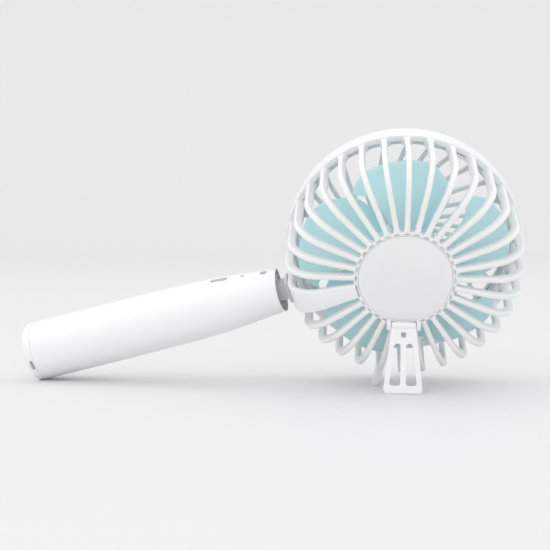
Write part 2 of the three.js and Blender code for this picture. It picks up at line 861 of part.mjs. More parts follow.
// The outside radius of the handle swells from the neck to the grip along a smooth curve.
// Each pair is a share of the handle's length and a share of the swelling.
const handleCurve = new THREE.CatmullRomCurve3([
  [0, 0],
  [0.08, 0.28],
  [0.18, 0.59],
  [0.295, 0.82],
  [0.46, 0.935],
  [0.69, 0.987],
  [1, 1],
].map(([along, swell]) => new THREE.Vector3(
  THREE.MathUtils.lerp(neckReach, endReach, along),
  THREE.MathUtils.lerp(handle.neckRadius, gripRadius, swell),
  0,
)));

function outerRadius(reach) {
  const points = handleCurve.getPoints(240);
  const after = points.findIndex((point) => point.x >= reach);
  if (after <= 0) return points.at(after).y;
  const [a, b] = [points[after - 1], points[after]];
  return THREE.MathUtils.lerp(a.y, b.y, (reach - a.x) / (b.x - a.x));
}

function reaches(from, to, steps) {
  return Array.from({ length: steps + 1 }, (_, i) => from + (to - from) * (i / steps));
}

function handleLathe(corners, segments = 40) {
  return alongHandle(turned(corners.map(([radius, reach]) => new THREE.Vector2(radius, -reach)), segments));
}

function handleShell() {
  const outside = reaches(neckReach, shellEnd, 9).map((reach) => [outerRadius(reach), reach]);
  const body = solid(handleLathe([[0, neckReach], ...outside, [0, shellEnd]]));
  const inside = reaches(hollowStart, shellEnd + 1, 5)
    .map((reach) => [outerRadius(Math.min(reach, shellEnd)) - handle.wall, reach]);
  const hollow = solid(handleLathe([[0, hollowStart], ...inside, [0, shellEnd + 1]]));
  const cheek = tongue.width / 2 + 2 * gap + washer.thickness;
  const cup = solid(roundAlongHandle(handle.cupRadius, neckReach - 2, cupEnd))
    .intersect(solid(boxBetween([-cheek, -20, -80], [cheek, 20, -40])));
  const wireHole = solid(roundAlongHandle(1.6, neckReach, hollowStart + 2, 16));
  const pinHole = solid(roundAlongX(neckPin.radius + runGap, -20, 20, pinReach));
  const neckHollow = solid(roundAlongY(neckCut, -30, 30, 96));
  const lampHole = solid(roundAlongX(lamp.radius + runGap, -20, 0, lampReach, 16));
  const holeRadius = button.radius + button.slot;
  const buttonHole = new THREE.CylinderGeometry(holeRadius, holeRadius, 20, 32);
  buttonHole.translate(0, 12, -buttonReach);
  return cut(body, [
    hollow,
    cup,
    wireHole,
    pinHole,
    lampHole,
    neckHollow,
    solid(buttonHole),
    solid(socketMouth(gap, -20)),
  ]);
}

// A pill-shaped prism along X: the charging socket, or the opening for it.
function socketMouth(extra, from) {
  const shape = roundedPath(new THREE.Shape(), [
    [-socket.length / 2 - extra, -socket.height / 2 - extra],
    [socket.length / 2 + extra, -socket.height / 2 - extra],
    [socket.length / 2 + extra, socket.height / 2 + extra],
    [-socket.length / 2 - extra, socket.height / 2 + extra],
  ], socket.corner);
  const length = -6 - from;
  const options = { depth: length, bevelEnabled: false, curveSegments: 4 };
  const geometry = new THREE.ExtrudeGeometry(shape, options);
  geometry.rotateY(Math.PI / 2);
  geometry.translate(from, 0, -socketReach);
  return geometry;
}

function usbSocket() {
  const mouth = -(outerRadius(socketReach) - socket.recess);
  const body = solid(socketMouth(0, mouth));
  const cavity = boxBetween(
    [mouth - 1, -socket.height / 2 + socket.wall, -socketReach - socket.length / 2 + socket.wall],
    [mouth + 3, socket.height / 2 - socket.wall, -socketReach + socket.length / 2 - socket.wall],
  );
  const tab = boxBetween(
    [mouth + 0.6, -0.3, -socketReach - socket.length / 2 + 1.4],
    [mouth + 3.4, 0.3, -socketReach + socket.length / 2 - 1.4],
  );
  return body.subtract(solid(cavity)).add(solid(tab));
}

function circuitBoard() {
  const body = solid(boxBetween(
    [-board.width / 2, -board.offset, -boardEnd],
    [board.width / 2, -board.offset + board.thickness, -boardStart],
  ));
  const notch = solid(boxBetween(
    [-board.width / 2 - 1, -5, -(boardStart + 6)],
    [-board.width / 2 + 1.4, 5, -(boardStart + 4)],
  ));
  return body.subtract(notch);
}

function switchBody() {
  const low = -board.offset + board.thickness + gap;
  const housing = solid(boxBetween([-3, low, -buttonReach - 3], [3, low + 3, -buttonReach + 3]));
  const plunger = new THREE.CylinderGeometry(1.6, 1.6, 1.6, 24);
  plunger.translate(0, low + 3.2, -buttonReach);
  return housing.add(solid(plunger));
}

// The button follows the round of the handle and keeps its travel over the switch.
function buttonCap() {
  const surface = outerRadius(buttonReach);
  const switchTop = -board.offset + board.thickness + gap + 4;
  const bottom = switchTop + button.travel + gap;
  const stem = new THREE.CylinderGeometry(button.radius, button.radius, 30, 32);
  stem.translate(0, bottom + 15, -buttonReach);
  const inner = surface - handle.wall;
  const flange = new THREE.CylinderGeometry(button.flange, button.flange, 1, 32);
  flange.translate(0, inner - button.flangeDrop, -buttonReach);
  const crown = solid(roundAlongHandle(surface + button.proud, buttonReach - 12, buttonReach + 12, 72));
  return join([solid(stem).intersect(crown), solid(flange)]);
}

function lightPipe() {
  const outer = outerRadius(lampReach) - 0.15;
  return roundAlongX(lamp.radius, -outer, -(outer - lamp.length), lampReach, 16);
}

function batteryCell() {
  const end = cellEnd;
  return handleLathe([
    [0, cellStart - cell.cap],
    [cell.capRadius, cellStart - cell.cap],
    [cell.capRadius, cellStart],
    [cell.radius - 0.6, cellStart],
    [cell.radius, cellStart + 0.6],
    [cell.radius, end - 0.6],
    [cell.radius - 0.6, end],
    [0, end],
  ]);
}

// The sled is a trough that holds the cell against the front wall of the grip.
function batterySled() {
  const inner = cell.radius + gap;
  const outer = outerRadius(cellStart) - handle.wall - gap;
  const from = cellStart - 0.5;
  const to = cellEnd - 1;
  const tube = solid(handleLathe([[inner, from], [outer, from], [outer, to], [inner, to]]));
  const keep = solid(boxBetween([-outer - 1, -2, -to - 1], [outer + 1, outer + 1, -from + 1]));
  return tube.intersect(keep);
}

function plusContact() {
  const at = cellStart - cell.cap - gap;
  return boxBetween([-4, -3.4, -at], [4, 3.4, -at + contact.thickness]);
}

// The minus spring is a helix of round wire between the cell and the end cap's contact.
class Helix extends THREE.Curve {
  getPoint(t, target = new THREE.Vector3()) {
    const angle = t * spring.turns * 2 * Math.PI;
    const start = cellEnd + spring.wire + gap;
    const end = contactReach - spring.wire - gap;
    return target.set(
      spring.coilRadius * Math.cos(angle),
      spring.coilRadius * Math.sin(angle),
      -(start + (end - start) * t),
    );
  }
}

function minusSpring() {
  const wire = new THREE.Shape().absarc(0, 0, spring.wire, 0, 2 * Math.PI, false);
  return new THREE.ExtrudeGeometry(wire, {
    steps: spring.turns * 8,
    extrudePath: new Helix(),
    curveSegments: 4,
  });
}

function minusContact() {
  return roundAlongHandle(contact.radius, contactReach, contactReach + contact.thickness, 32);
}

function endCap() {
  const grip = gripRadius;
  const inside = grip - handle.wall - gap;
  const skirt = inside - handle.skirtWall;
  const skirtStart = shellEnd - handle.skirt;
  const slotEnd = -(endReach - strap.inset);
  const slotStart = slotEnd + strap.height;
  const rounds = reaches(0, 1, 4).map((t) => [
    grip - handle.endRound + handle.endRound * Math.cos(t * Math.PI / 2),
    endReach - handle.endRound + handle.endRound * Math.sin(t * Math.PI / 2),
  ]);
  const body = solid(handleLathe([
    [skirt, skirtStart],
    [inside, skirtStart],
    [inside, shellEnd + gap],
    [grip, shellEnd + gap],
    ...rounds,
    [0, endReach],
    [0, capInside],
    [skirt, capInside],
  ]));
  const slot = solid(boxBetween(
    [-strap.width / 2, -grip - 2, slotEnd],
    [strap.width / 2, -grip + strap.depth, slotStart],
  ));
  const well = solid(boxBetween(
    [-strap.width / 2, -grip + strap.depth - strap.height, -(endReach + 1)],
    [strap.width / 2, -grip + strap.depth, slotStart],
  ));
  const frame = new THREE.Matrix4().makeTranslation(0, -handle.depth, 0);
  return cut(body, [slot, well, underTable(frame)]);
}

function frictionWasher(side) {
  const inner = tongue.width / 2 + gap;
  const outer = inner + washer.thickness;
  const [from, to] = side > 0 ? [inner, outer] : [-outer, -inner];
  const disc = solid(roundAlongX(washer.radius, from, to, pinReach));
  return disc.subtract(solid(roundAlongX(neckPin.radius + runGap, -20, 20, pinReach)));
}

function hingePin() {
  const half = outerRadius(pinReach) - neckPin.sink;
  return roundAlongX(neckPin.radius, -half, half, pinReach);
}

// ---- assembly --------------------------------------------------------------------------------

piece(headGroup, 'rear_guard', rearGuard(), 'white');
piece(headGroup, 'hub_cap', hubDisc(), 'hub');
piece(headGroup, 'front_cover', frontCover(), 'white');
piece(headGroup, 'front_grille', frontGrille(), 'white');
piece(headGroup, 'cover_badge', coverBadge(), 'hub');
piece(headGroup, 'impeller', impellerBody(), 'mint');
piece(headGroup, 'motor_shaft', roundAlongY(motor.shaftRadius, motor.shaftFront, shaftBack, 20), 'steel');
piece(headGroup, 'magnet_ring', magnetRing(), 'dark');
piece(headGroup, 'motor_base', motorBase(), 'dark');
piece(headGroup, 'stator_core', stator(), 'copper');
piece(headGroup, 'motor_board', motorBoard(), 'board');
piece(headGroup, 'bearing_front', bearing(motor.tubeFront + 0.6), 'steel');
piece(headGroup, 'bearing_rear', bearing(shaftBack - motor.bearingWidth - 0.4), 'steel');
motorScrewPlaces().forEach((place, index) => {
  piece(headGroup, `motor_screw_${index + 1}`, motorScrew(place), 'steel');
});
const standPinLength = stand.topWidth + 2 * (gap + stand.earWidth);
piece(headGroup, 'stand_pin', standPin(stand.pinRadius, standPinLength), 'steel');

const standGroup = new THREE.Group();
const standTurn = new THREE.Matrix4().makeRotationY(rad(standAngle));
const standShift = new THREE.Matrix4()
  .makeTranslation(standHinge, -(guard.depth + stand.hingeLift), 0);
const standOpen = new THREE.Matrix4().makeRotationZ(-rad(stand.open));
const standMatrix = standTurn.clone().multiply(standShift).multiply(standOpen);
standGroup.applyMatrix4(standMatrix);
headGroup.add(standGroup);
piece(standGroup, 'kickstand', kickstand(underTable(standMatrix)), 'white');

piece(handleGroup, 'neck_bracket', neckBracket(), 'white');
piece(handleGroup, 'neck_screw', neckScrewInHandle(0), 'steel');
piece(handleGroup, 'handle_shell', handleShell(), 'white');
piece(handleGroup, 'end_cap', endCap(), 'white');
piece(handleGroup, 'hinge_pin', hingePin(), 'steel');
piece(handleGroup, 'friction_washer_1', frictionWasher(1), 'steel');
piece(handleGroup, 'friction_washer_2', frictionWasher(-1), 'steel');
piece(handleGroup, 'circuit_board', circuitBoard(), 'board');
piece(handleGroup, 'charging_socket', usbSocket(), 'steel');
piece(handleGroup, 'switch_body', switchBody(), 'dark');
piece(handleGroup, 'power_button', buttonCap(), 'white');
piece(handleGroup, 'light_pipe', lightPipe(), 'lens');
piece(handleGroup, 'battery_cell', batteryCell(), 'wrap');
piece(handleGroup, 'battery_sled', batterySled(), 'white');
piece(handleGroup, 'plus_contact', plusContact(), 'steel');
piece(handleGroup, 'minus_spring', minusSpring(), 'steel');
piece(handleGroup, 'minus_contact', minusContact(), 'steel');

// ---- laying down -----------------------------------------------------------------------------

const model = new THREE.Group();
fan.applyMatrix4(placed);
model.add(fan);
model.updateMatrixWorld(true);
const bounds = new THREE.Box3().setFromObject(model, true);
fan.position.x -= (bounds.min.x + bounds.max.x) / 2;
fan.position.y -= (bounds.min.y + bounds.max.y) / 2;
fan.position.z -= bounds.min.z;

export default model;
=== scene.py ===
"""A rechargeable handheld fan that stands on its kickstand and on the end of its handle."""

import json
import logging
import math
from dataclasses import dataclass
from enum import Enum

import bmesh
import bpy
import numpy as np
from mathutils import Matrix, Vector


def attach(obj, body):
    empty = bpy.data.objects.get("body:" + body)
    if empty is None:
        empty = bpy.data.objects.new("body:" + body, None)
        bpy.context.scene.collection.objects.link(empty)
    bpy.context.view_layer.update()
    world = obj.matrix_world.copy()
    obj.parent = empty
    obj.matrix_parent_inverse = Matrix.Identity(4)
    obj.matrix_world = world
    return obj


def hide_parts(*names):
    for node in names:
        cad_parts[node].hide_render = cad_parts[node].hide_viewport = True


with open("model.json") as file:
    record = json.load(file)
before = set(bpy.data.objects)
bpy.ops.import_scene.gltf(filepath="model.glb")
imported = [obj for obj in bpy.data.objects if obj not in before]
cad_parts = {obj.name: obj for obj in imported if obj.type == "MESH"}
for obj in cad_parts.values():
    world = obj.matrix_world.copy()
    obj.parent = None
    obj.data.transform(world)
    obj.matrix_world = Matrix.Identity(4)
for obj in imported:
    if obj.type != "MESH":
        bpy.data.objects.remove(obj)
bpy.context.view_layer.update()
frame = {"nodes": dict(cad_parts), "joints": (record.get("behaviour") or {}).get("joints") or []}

MM = 0.001
TAU = 2.0 * math.pi
log = logging.getLogger("fan")


# ---- places ------------------------------------------------------------------------------------


class Body(Enum):
    """The moving bodies of the fan."""

    HANDLE = "handle"
    HEAD = "head"
    COVER = "cover"
    ROTOR = "rotor"
    STAND = "stand"
    BUTTON = "button"


@dataclass(frozen=True)
class Placement:
    """Carries the fan's own upright drawing frame, in millimetres, to the row frame in metres.

    The drawing frame has +Y forward along the head's axis and -Z down the handle.
    """

    origin: np.ndarray
    axes: np.ndarray

    def world(self, points: np.ndarray) -> np.ndarray:
        """Place points.

        Args:
            points: Array (..., 3) in the drawing frame, in millimetres.

        Returns:
            The same points in the row frame, in metres, none of them under the table.
        """
        placed = self.origin + (points * MM) @ self.axes
        placed[..., 2] = np.maximum(placed[..., 2], 0.0)
        return placed

    def moved(self, offset: tuple[float, float, float]) -> "Placement":
        """Give the placement of a frame shifted by offset millimetres in the drawing frame."""
        return Placement(self.origin + (np.array(offset) * MM) @ self.axes, self.axes)


def head_placement() -> Placement:
    """Read the head's place from the joints.

    Returns:
        The placement whose X is the tilt hinge's axis and whose Y is the head's own axis.
    """
    joints = {joint["name"]: joint for joint in frame["joints"]}
    forward = np.array(joints["cover_twist"]["axis"], dtype=float)
    forward /= np.linalg.norm(forward)
    across = np.array(joints["neck_tilt"]["axis"], dtype=float)
    across -= forward * across.dot(forward)
    across /= np.linalg.norm(across)
    up = np.cross(across, forward)
    origin = np.array(joints["cover_twist"]["pos_m"], dtype=float)
    return Placement(origin, np.stack([across, forward, up]))


HEAD = head_placement()
HANDLE_DEPTH = 15.5
HANDLE = HEAD.moved((0.0, -HANDLE_DEPTH, 0.0))


# ---- shells ------------------------------------------------------------------------------------


@dataclass
class Shell:
    """A closed surface: vertices in the drawing frame, quads and triangles."""

    verts: np.ndarray
    quads: np.ndarray
    tris: np.ndarray

    def volume(self) -> float:
        """Measure the volume as the sum of the signed tetrahedra from the origin to every face.

        Returns:
            The volume, which is negative when the faces point in.
        """
        split = np.concatenate([self.quads[:, [0, 1, 2]], self.quads[:, [0, 2, 3]], self.tris])
        a, b, c = (self.verts[split[:, k]] for k in range(3))
        return float(np.einsum("ij,ij->i", a, np.cross(b, c)).sum() / 6.0)

    def outward(self) -> "Shell":
        """Turn the faces round if they point in.

        Returns:
            The shell with its faces pointing out.
        """
        if self.volume() >= 0.0:
            return self
        return Shell(self.verts, self.quads[:, ::-1], self.tris[:, ::-1])


def tube(points: np.ndarray, closed: bool = False) -> Shell:
    """Skin a row of rings.

    Ring i joins ring i + 1 with quads. An open tube's first and last ring are closed with a fan
    about the mean of the ring.

    Args:
        points: Array (rings, around, 3).
        closed: Whether the last ring joins the first.

    Returns:
        The closed shell.
    """
    rings, around = points.shape[:2]
    i = np.arange(rings if closed else rings - 1)[:, None]
    j = np.arange(around)[None, :]
    nxt = (j + 1) % around
    low, high = i * around, ((i + 1) % rings) * around
    quads = np.stack(np.broadcast_arrays(low + j, low + nxt, high + nxt, high + j), -1).reshape(-1, 4)
    verts = points.reshape(-1, 3)
    tris = np.zeros((0, 3), dtype=int)
    if not closed:
        count = len(verts)
        verts = np.vstack([verts, points[0].mean(0), points[-1].mean(0)])
        ring = np.arange(around)
        step = (ring + 1) % around
        last = (rings - 1) * around
        first_fan = np.stack([step, ring, np.full(around, count)], -1)
        last_fan = np.stack([last + ring, last + step, np.full(around, count + 1)], -1)
        tris = np.vstack([first_fan, last_fan])
    return Shell(verts, quads, tris).outward()


def merged(shells: list[Shell]) -> Shell:
    """Put several shells into one without joining their surfaces.

    Args:
        shells: The shells.

    Returns:
        One shell that holds them all.
    """
    starts = np.cumsum([0] + [len(shell.verts) for shell in shells[:-1]])
    return Shell(
        np.vstack([shell.verts for shell in shells]),
        np.vstack([shell.quads + start for shell, start in zip(shells, starts)]),
        np.vstack([shell.tris + start for shell, start in zip(shells, starts)]),
    )


def filleted(points: list[tuple[float, float]], radius: float, loop: bool, steps: int = 5) -> np.ndarray:
    """Round the corners of a polyline.

    Each corner P between A and B becomes the quadratic arc from P + r(A-P) to P + r(B-P), with
    r no more than 0.48 of either side.

    Args:
        points: Corners in order.
        radius: How far from the corner the rounding starts.
        loop: Whether the polyline is closed.
        steps: Segments in each arc.

    Returns:
        Array (n, 2).
    """
    corners = np.array(points, dtype=float)
    count = len(corners)
    t = np.linspace(0.0, 1.0, steps + 1)[:, None]
    rows = []
    for index in range(count):
        corner = corners[index]
        if not loop and index in (0, count - 1):
            rows.append(corner[None, :])
            continue
        before, after = corners[index - 1] - corner, corners[(index + 1) % count] - corner
        lengths = np.linalg.norm(before), np.linalg.norm(after)
        reach = min(radius, 0.48 * lengths[0], 0.48 * lengths[1])
        start, end = corner + before / lengths[0] * reach, corner + after / lengths[1] * reach
        rows.append((1 - t) ** 2 * start + 2 * t * (1 - t) * corner + t**2 * end)
    return np.vstack(rows)


def turned(profile: np.ndarray, segments: int = 128) -> Shell:
    """Revolve a profile about the head's axis.

    A point (radius, depth) goes to (radius cos a, -depth, -radius sin a). A profile whose ends
    are on the axis is closed with fans; any other is a ring whose ends join.

    Args:
        profile: Array (n, 2) of radius and depth.
        segments: Steps round the axis.

    Returns:
        The closed shell.
    """
    on_axis = profile[0, 0] < 1e-9 and profile[-1, 0] < 1e-9
    used = profile[1:-1] if on_axis else profile
    angle = np.linspace(0.0, TAU, segments, endpoint=False)
    radius, depth = used[:, 0][:, None], used[:, 1][:, None]
    grid = np.stack(
        np.broadcast_arrays(radius * np.cos(angle), -depth, -radius * np.sin(angle)), -1
    )
    return tube(grid) if on_axis else tube(np.swapaxes(grid, 0, 1), closed=True)


def along_handle(shell: Shell) -> Shell:
    """Lay a shell that was turned about +Y along the handle, so that depth becomes reach.

    Args:
        shell: The shell to lay down.

    Returns:
        The shell about the handle's axis.
    """
    x, y, z = shell.verts.T
    return Shell(np.stack([x, -z, y], -1), shell.quads, shell.tris).outward()


def section_loop(width: float, depth: float, radius: float, steps: int = 4) -> np.ndarray:
    """Draw a rounded rectangle from -width/2 to width/2 across and from 0 to depth down.

    Args:
        width: Size across.
        depth: Size down.
        radius: Corner rounding.
        steps: Segments in each corner.

    Returns:
        Array (n, 2).
    """
    half = width / 2.0
    return filleted([(-half, 0.0), (half, 0.0), (half, depth), (-half, depth)], radius, True, steps)


def pillow(low: tuple[float, float, float], high: tuple[float, float, float], radius: float) -> Shell:
    """Make a box with rounded edges.

    The section across X is a rounded rectangle; over the last radius at each end it shrinks by
    radius (1 - sqrt(1 - u^2)), where u runs from 0 to 1 towards the end.

    Args:
        low: Lowest corner.
        high: Highest corner.
        radius: Edge radius.

    Returns:
        The closed shell.
    """
    lo, hi = np.array(low, dtype=float), np.array(high, dtype=float)
    size = hi - lo
    corners = [(0.0, 0.0), (size[1], 0.0), (size[1], size[2]), (0.0, size[2])]
    loop = filleted(corners, radius, True, 4) - size[1:] / 2.0
    u = np.linspace(0.98, 0.0, 5)
    inset = radius * (1.0 - np.sqrt(1.0 - u**2))
    x = np.concatenate([radius * (1.0 - u), size[0] - radius * (1.0 - u[::-1])])
    shrink = np.concatenate([inset, inset[::-1]])[:, None]
    scale_y = (size[1] - 2.0 * shrink) / size[1]
    scale_z = (size[2] - 2.0 * shrink) / size[2]
    y = loop[:, 0] * scale_y + (lo[1] + hi[1]) / 2.0
    z = loop[:, 1] * scale_z + (lo[2] + hi[2]) / 2.0
    return tube(np.stack(np.broadcast_arrays(lo[0] + x[:, None], y, z), -1))


def about_axis(shell: Shell, degrees: float) -> Shell:
    """Turn a shell about the head's axis.

    Args:
        shell: The shell.
        degrees: Turn that brings a shell drawn along +X down the handle at 90.

    Returns:
        The turned shell.
    """
    a = math.radians(degrees)
    x, y, z = shell.verts.T
    spun = np.stack([x * math.cos(a) + z * math.sin(a), y, z * math.cos(a) - x * math.sin(a)], -1)
    return Shell(spun, shell.quads, shell.tris)


# ---- finishes ----------------------------------------------------------------------------------


@dataclass(frozen=True)
class Finish:
    """A procedural finish: a base colour with slow mottling, fine grain and uneven gloss."""

    name: str
    colour: tuple[float, float, float]
    roughness: float
    metallic: float = 0.0
    coat: float = 0.0
    subsurface: float = 0.0
    sheen_grain: float = 900.0
    bump: float = 0.06
    mottle: float = 0.03
    gloss_spread: float = 0.08
    transmission: float = 0.0

    def material(self) -> bpy.types.Material:
        """Build the node material once and reuse it.

        Returns:
            The material, with every pattern on Object coordinates.
        """
        known = bpy.data.materials.get(self.name)
        if known is not None:
            return known
        made = bpy.data.materials.new(self.name)
        made.use_nodes = True
        nodes, links = made.node_tree.nodes, made.node_tree.links
        shader = nodes["Principled BSDF"]
        shader.inputs["Metallic"].default_value = self.metallic
        shader.inputs["Coat Weight"].default_value = self.coat
        shader.inputs["Coat Roughness"].default_value = 0.12
        shader.inputs["Subsurface Weight"].default_value = self.subsurface
        shader.inputs["Subsurface Radius"].default_value = (0.004, 0.004, 0.004)
        shader.inputs["Transmission Weight"].default_value = self.transmission
        place = nodes.new("ShaderNodeTexCoord")
        slow = nodes.new("ShaderNodeTexNoise")
        slow.inputs["Scale"].default_value = 45.0
        slow.inputs["Detail"].default_value = 3.0
        fine = nodes.new("ShaderNodeTexNoise")
        fine.inputs["Scale"].default_value = self.sheen_grain
        fine.inputs["Detail"].default_value = 4.0
        links.new(place.outputs["Object"], slow.inputs["Vector"])
        links.new(place.outputs["Object"], fine.inputs["Vector"])
        tint = nodes.new("ShaderNodeMix")
        tint.data_type = "RGBA"
        dark = tuple(channel * (1.0 - self.mottle) for channel in self.colour)
        light = tuple(min(1.0, channel * (1.0 + 0.5 * self.mottle)) for channel in self.colour)
        tint.inputs["A"].default_value = (*dark, 1.0)
        tint.inputs["B"].default_value = (*light, 1.0)
        links.new(slow.outputs["Fac"], tint.inputs["Factor"])
        links.new(tint.outputs["Result"], shader.inputs["Base Color"])
        gloss = nodes.new("ShaderNodeMapRange")
        gloss.inputs["To Min"].default_value = max(0.02, self.roughness - self.gloss_spread / 2.0)
        gloss.inputs["To Max"].default_value = self.roughness + self.gloss_spread / 2.0
        links.new(slow.outputs["Fac"], gloss.inputs["Value"])
        links.new(gloss.outputs["Result"], shader.inputs["Roughness"])
        relief = nodes.new("ShaderNodeBump")
        relief.inputs["Strength"].default_value = self.bump
        relief.inputs["Distance"].default_value = 0.0002
        links.new(fine.outputs["Fac"], relief.inputs["Height"])
        links.new(relief.outputs["Normal"], shader.inputs["Normal"])
        return made


GUARD_WHITE = Finish("guard_white_satin", (0.86, 0.865, 0.87), 0.42, coat=0.1, subsurface=0.05)
HANDLE_WHITE = Finish("handle_white_gloss", (0.87, 0.875, 0.88), 0.3, coat=0.25, bump=0.03)
LABEL_GREY = Finish("hub_label_grey", (0.84, 0.842, 0.846), 0.5, bump=0.1)
BLADE_MINT = Finish("blade_mint", (0.6, 0.88, 0.91), 0.28, coat=0.2, subsurface=0.08, bump=0.02)
SOFT_GREY = Finish("button_soft_grey", (0.72, 0.73, 0.74), 0.5, bump=0.1)
BRIGHT_STEEL = Finish("bright_steel", (0.62, 0.63, 0.65), 0.25, metallic=1.0, sheen_grain=2400.0)
MAGNET_BLACK = Finish("magnet_black", (0.035, 0.035, 0.04), 0.6, bump=0.2)
COPPER_WINDING = Finish("copper_winding", (0.68, 0.33, 0.14), 0.35, metallic=1.0, bump=0.5)
CAST_ALUMINIUM = Finish("cast_aluminium", (0.5, 0.51, 0.53), 0.45, metallic=1.0, bump=0.15)
BOARD_GREEN = Finish("solder_mask_green", (0.03, 0.2, 0.08), 0.4, coat=0.3)
CELL_WRAP = Finish("cell_wrap_blue", (0.05, 0.2, 0.48), 0.35, coat=0.3)
DARK_MOULDING = Finish("dark_moulding", (0.03, 0.031, 0.034), 0.5, bump=0.15)
CLEAR_LENS = Finish("clear_lens", (0.9, 0.92, 0.93), 0.15, transmission=0.5)


# ---- objects -----------------------------------------------------------------------------------


def shaded(mesh: bpy.types.Mesh, degrees: float) -> None:
    """Smooth a mesh except over its sharp edges.

    Args:
        mesh: The mesh.
        degrees: Edges over this angle stay sharp.
    """
    mesh.polygons.foreach_set("use_smooth", np.ones(len(mesh.polygons), dtype=bool))
    mesh.set_sharp_from_angle(angle=math.radians(degrees))
    mesh.update()


def as_object(name: str, shell: Shell, place: Placement, sharp: float = 38.0) -> bpy.types.Object:
    """Turn a shell into an object at the origin, its place in its mesh.

    Args:
        name: Object name.
        shell: The shell in the drawing frame.
        place: Where the drawing frame stands.
        sharp: Edge angle over which shading stays sharp, in degrees.

    Returns:
        The linked object.
    """
    mesh = bpy.data.meshes.new(name)
    faces = shell.quads.tolist() + shell.tris.tolist()
    mesh.from_pydata(place.world(shell.verts).tolist(), [], faces)
    mesh.validate()
    shaded(mesh, sharp)
    made = bpy.data.objects.new(name, mesh)
    bpy.context.scene.collection.objects.link(made)
    return made


def finished(made: bpy.types.Object, finish: Finish, body: Body, slot: str, *nodes: str) -> bpy.types.Object:
    """Dress a piece and hand it to its body.

    Args:
        made: The piece.
        finish: Its finish.
        body: The body it moves with.
        slot: The record's material slot; not used.
        nodes: CAD nodes it stands for.

    Returns:
        The piece.
    """
    made.data.materials.clear()
    made.data.materials.append(finish.material())
    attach(made, body.value)
    if nodes:
        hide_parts(*nodes)
    log.info("%s: %d faces on %s", made.name, len(made.data.polygons), body.value)
    return made


def carved(made: bpy.types.Object, cutters: list[Shell], place: Placement, sharp: float) -> bpy.types.Object:
    """Cut shells out of an object and keep the result as plain mesh.

    Args:
        made: The object to cut.
        cutters: The shells to take away.
        place: Where the cutters' frame stands.
        sharp: Edge angle over which shading stays sharp, in degrees.

    Returns:
        The same object with its new mesh.
    """
    tools = [as_object(f"{made.name}_cut_{index}", cutter, place) for index, cutter in enumerate(cutters)]
    for tool in tools:
        step = made.modifiers.new(tool.name, "BOOLEAN")
        step.operation, step.solver, step.object = "DIFFERENCE", "EXACT", tool
    graph = bpy.context.evaluated_depsgraph_get()
    result = bpy.data.meshes.new_from_object(made.evaluated_get(graph))
    made.modifiers.clear()
    made.data = result
    for tool in tools:
        bpy.data.objects.remove(tool)
    shaded(result, sharp)
    return made


def rounded_edges(made: bpy.types.Object, width: float, angle: float) -> None:
    """Bevel an object's sharp edges and keep the result as plain mesh.

    Args:
        made: The object.
        width: Bevel width in millimetres.
        angle: Edges over this angle are rounded, in degrees.
    """
    bevel = made.modifiers.new("edge", "BEVEL")
    bevel.width, bevel.segments, bevel.limit_method = width * MM, 3, "ANGLE"
    bevel.angle_limit = math.radians(angle)
    graph = bpy.context.evaluated_depsgraph_get()
    made.data = bpy.data.meshes.new_from_object(made.evaluated_get(graph))
    made.modifiers.clear()
    shaded(made.data, 45.0)


def softened(node: str, width: float) -> bpy.types.Object:
    """Copy a CAD node, merge its corners and round its edges with a bevel.

    Args:
        node: The CAD node.
        width: Bevel width in millimetres.

    Returns:
        The new object.
    """
    mesh = frame["nodes"][node].data.copy()
    work = bmesh.new()
    work.from_mesh(mesh)
    bmesh.ops.remove_doubles(work, verts=work.verts, dist=2e-6)
    flat = math.radians(1.0)
    bmesh.ops.dissolve_limit(work, angle_limit=flat, verts=work.verts, edges=work.edges)
    bmesh.ops.recalc_face_normals(work, faces=work.faces)
    work.to_mesh(mesh)
    work.free()
    made = bpy.data.objects.new(f"{node}_soft", mesh)
    bpy.context.scene.collection.objects.link(made)
    rounded_edges(made, width, 30.0)
    return made


# ---- rear guard --------------------------------------------------------------------------------


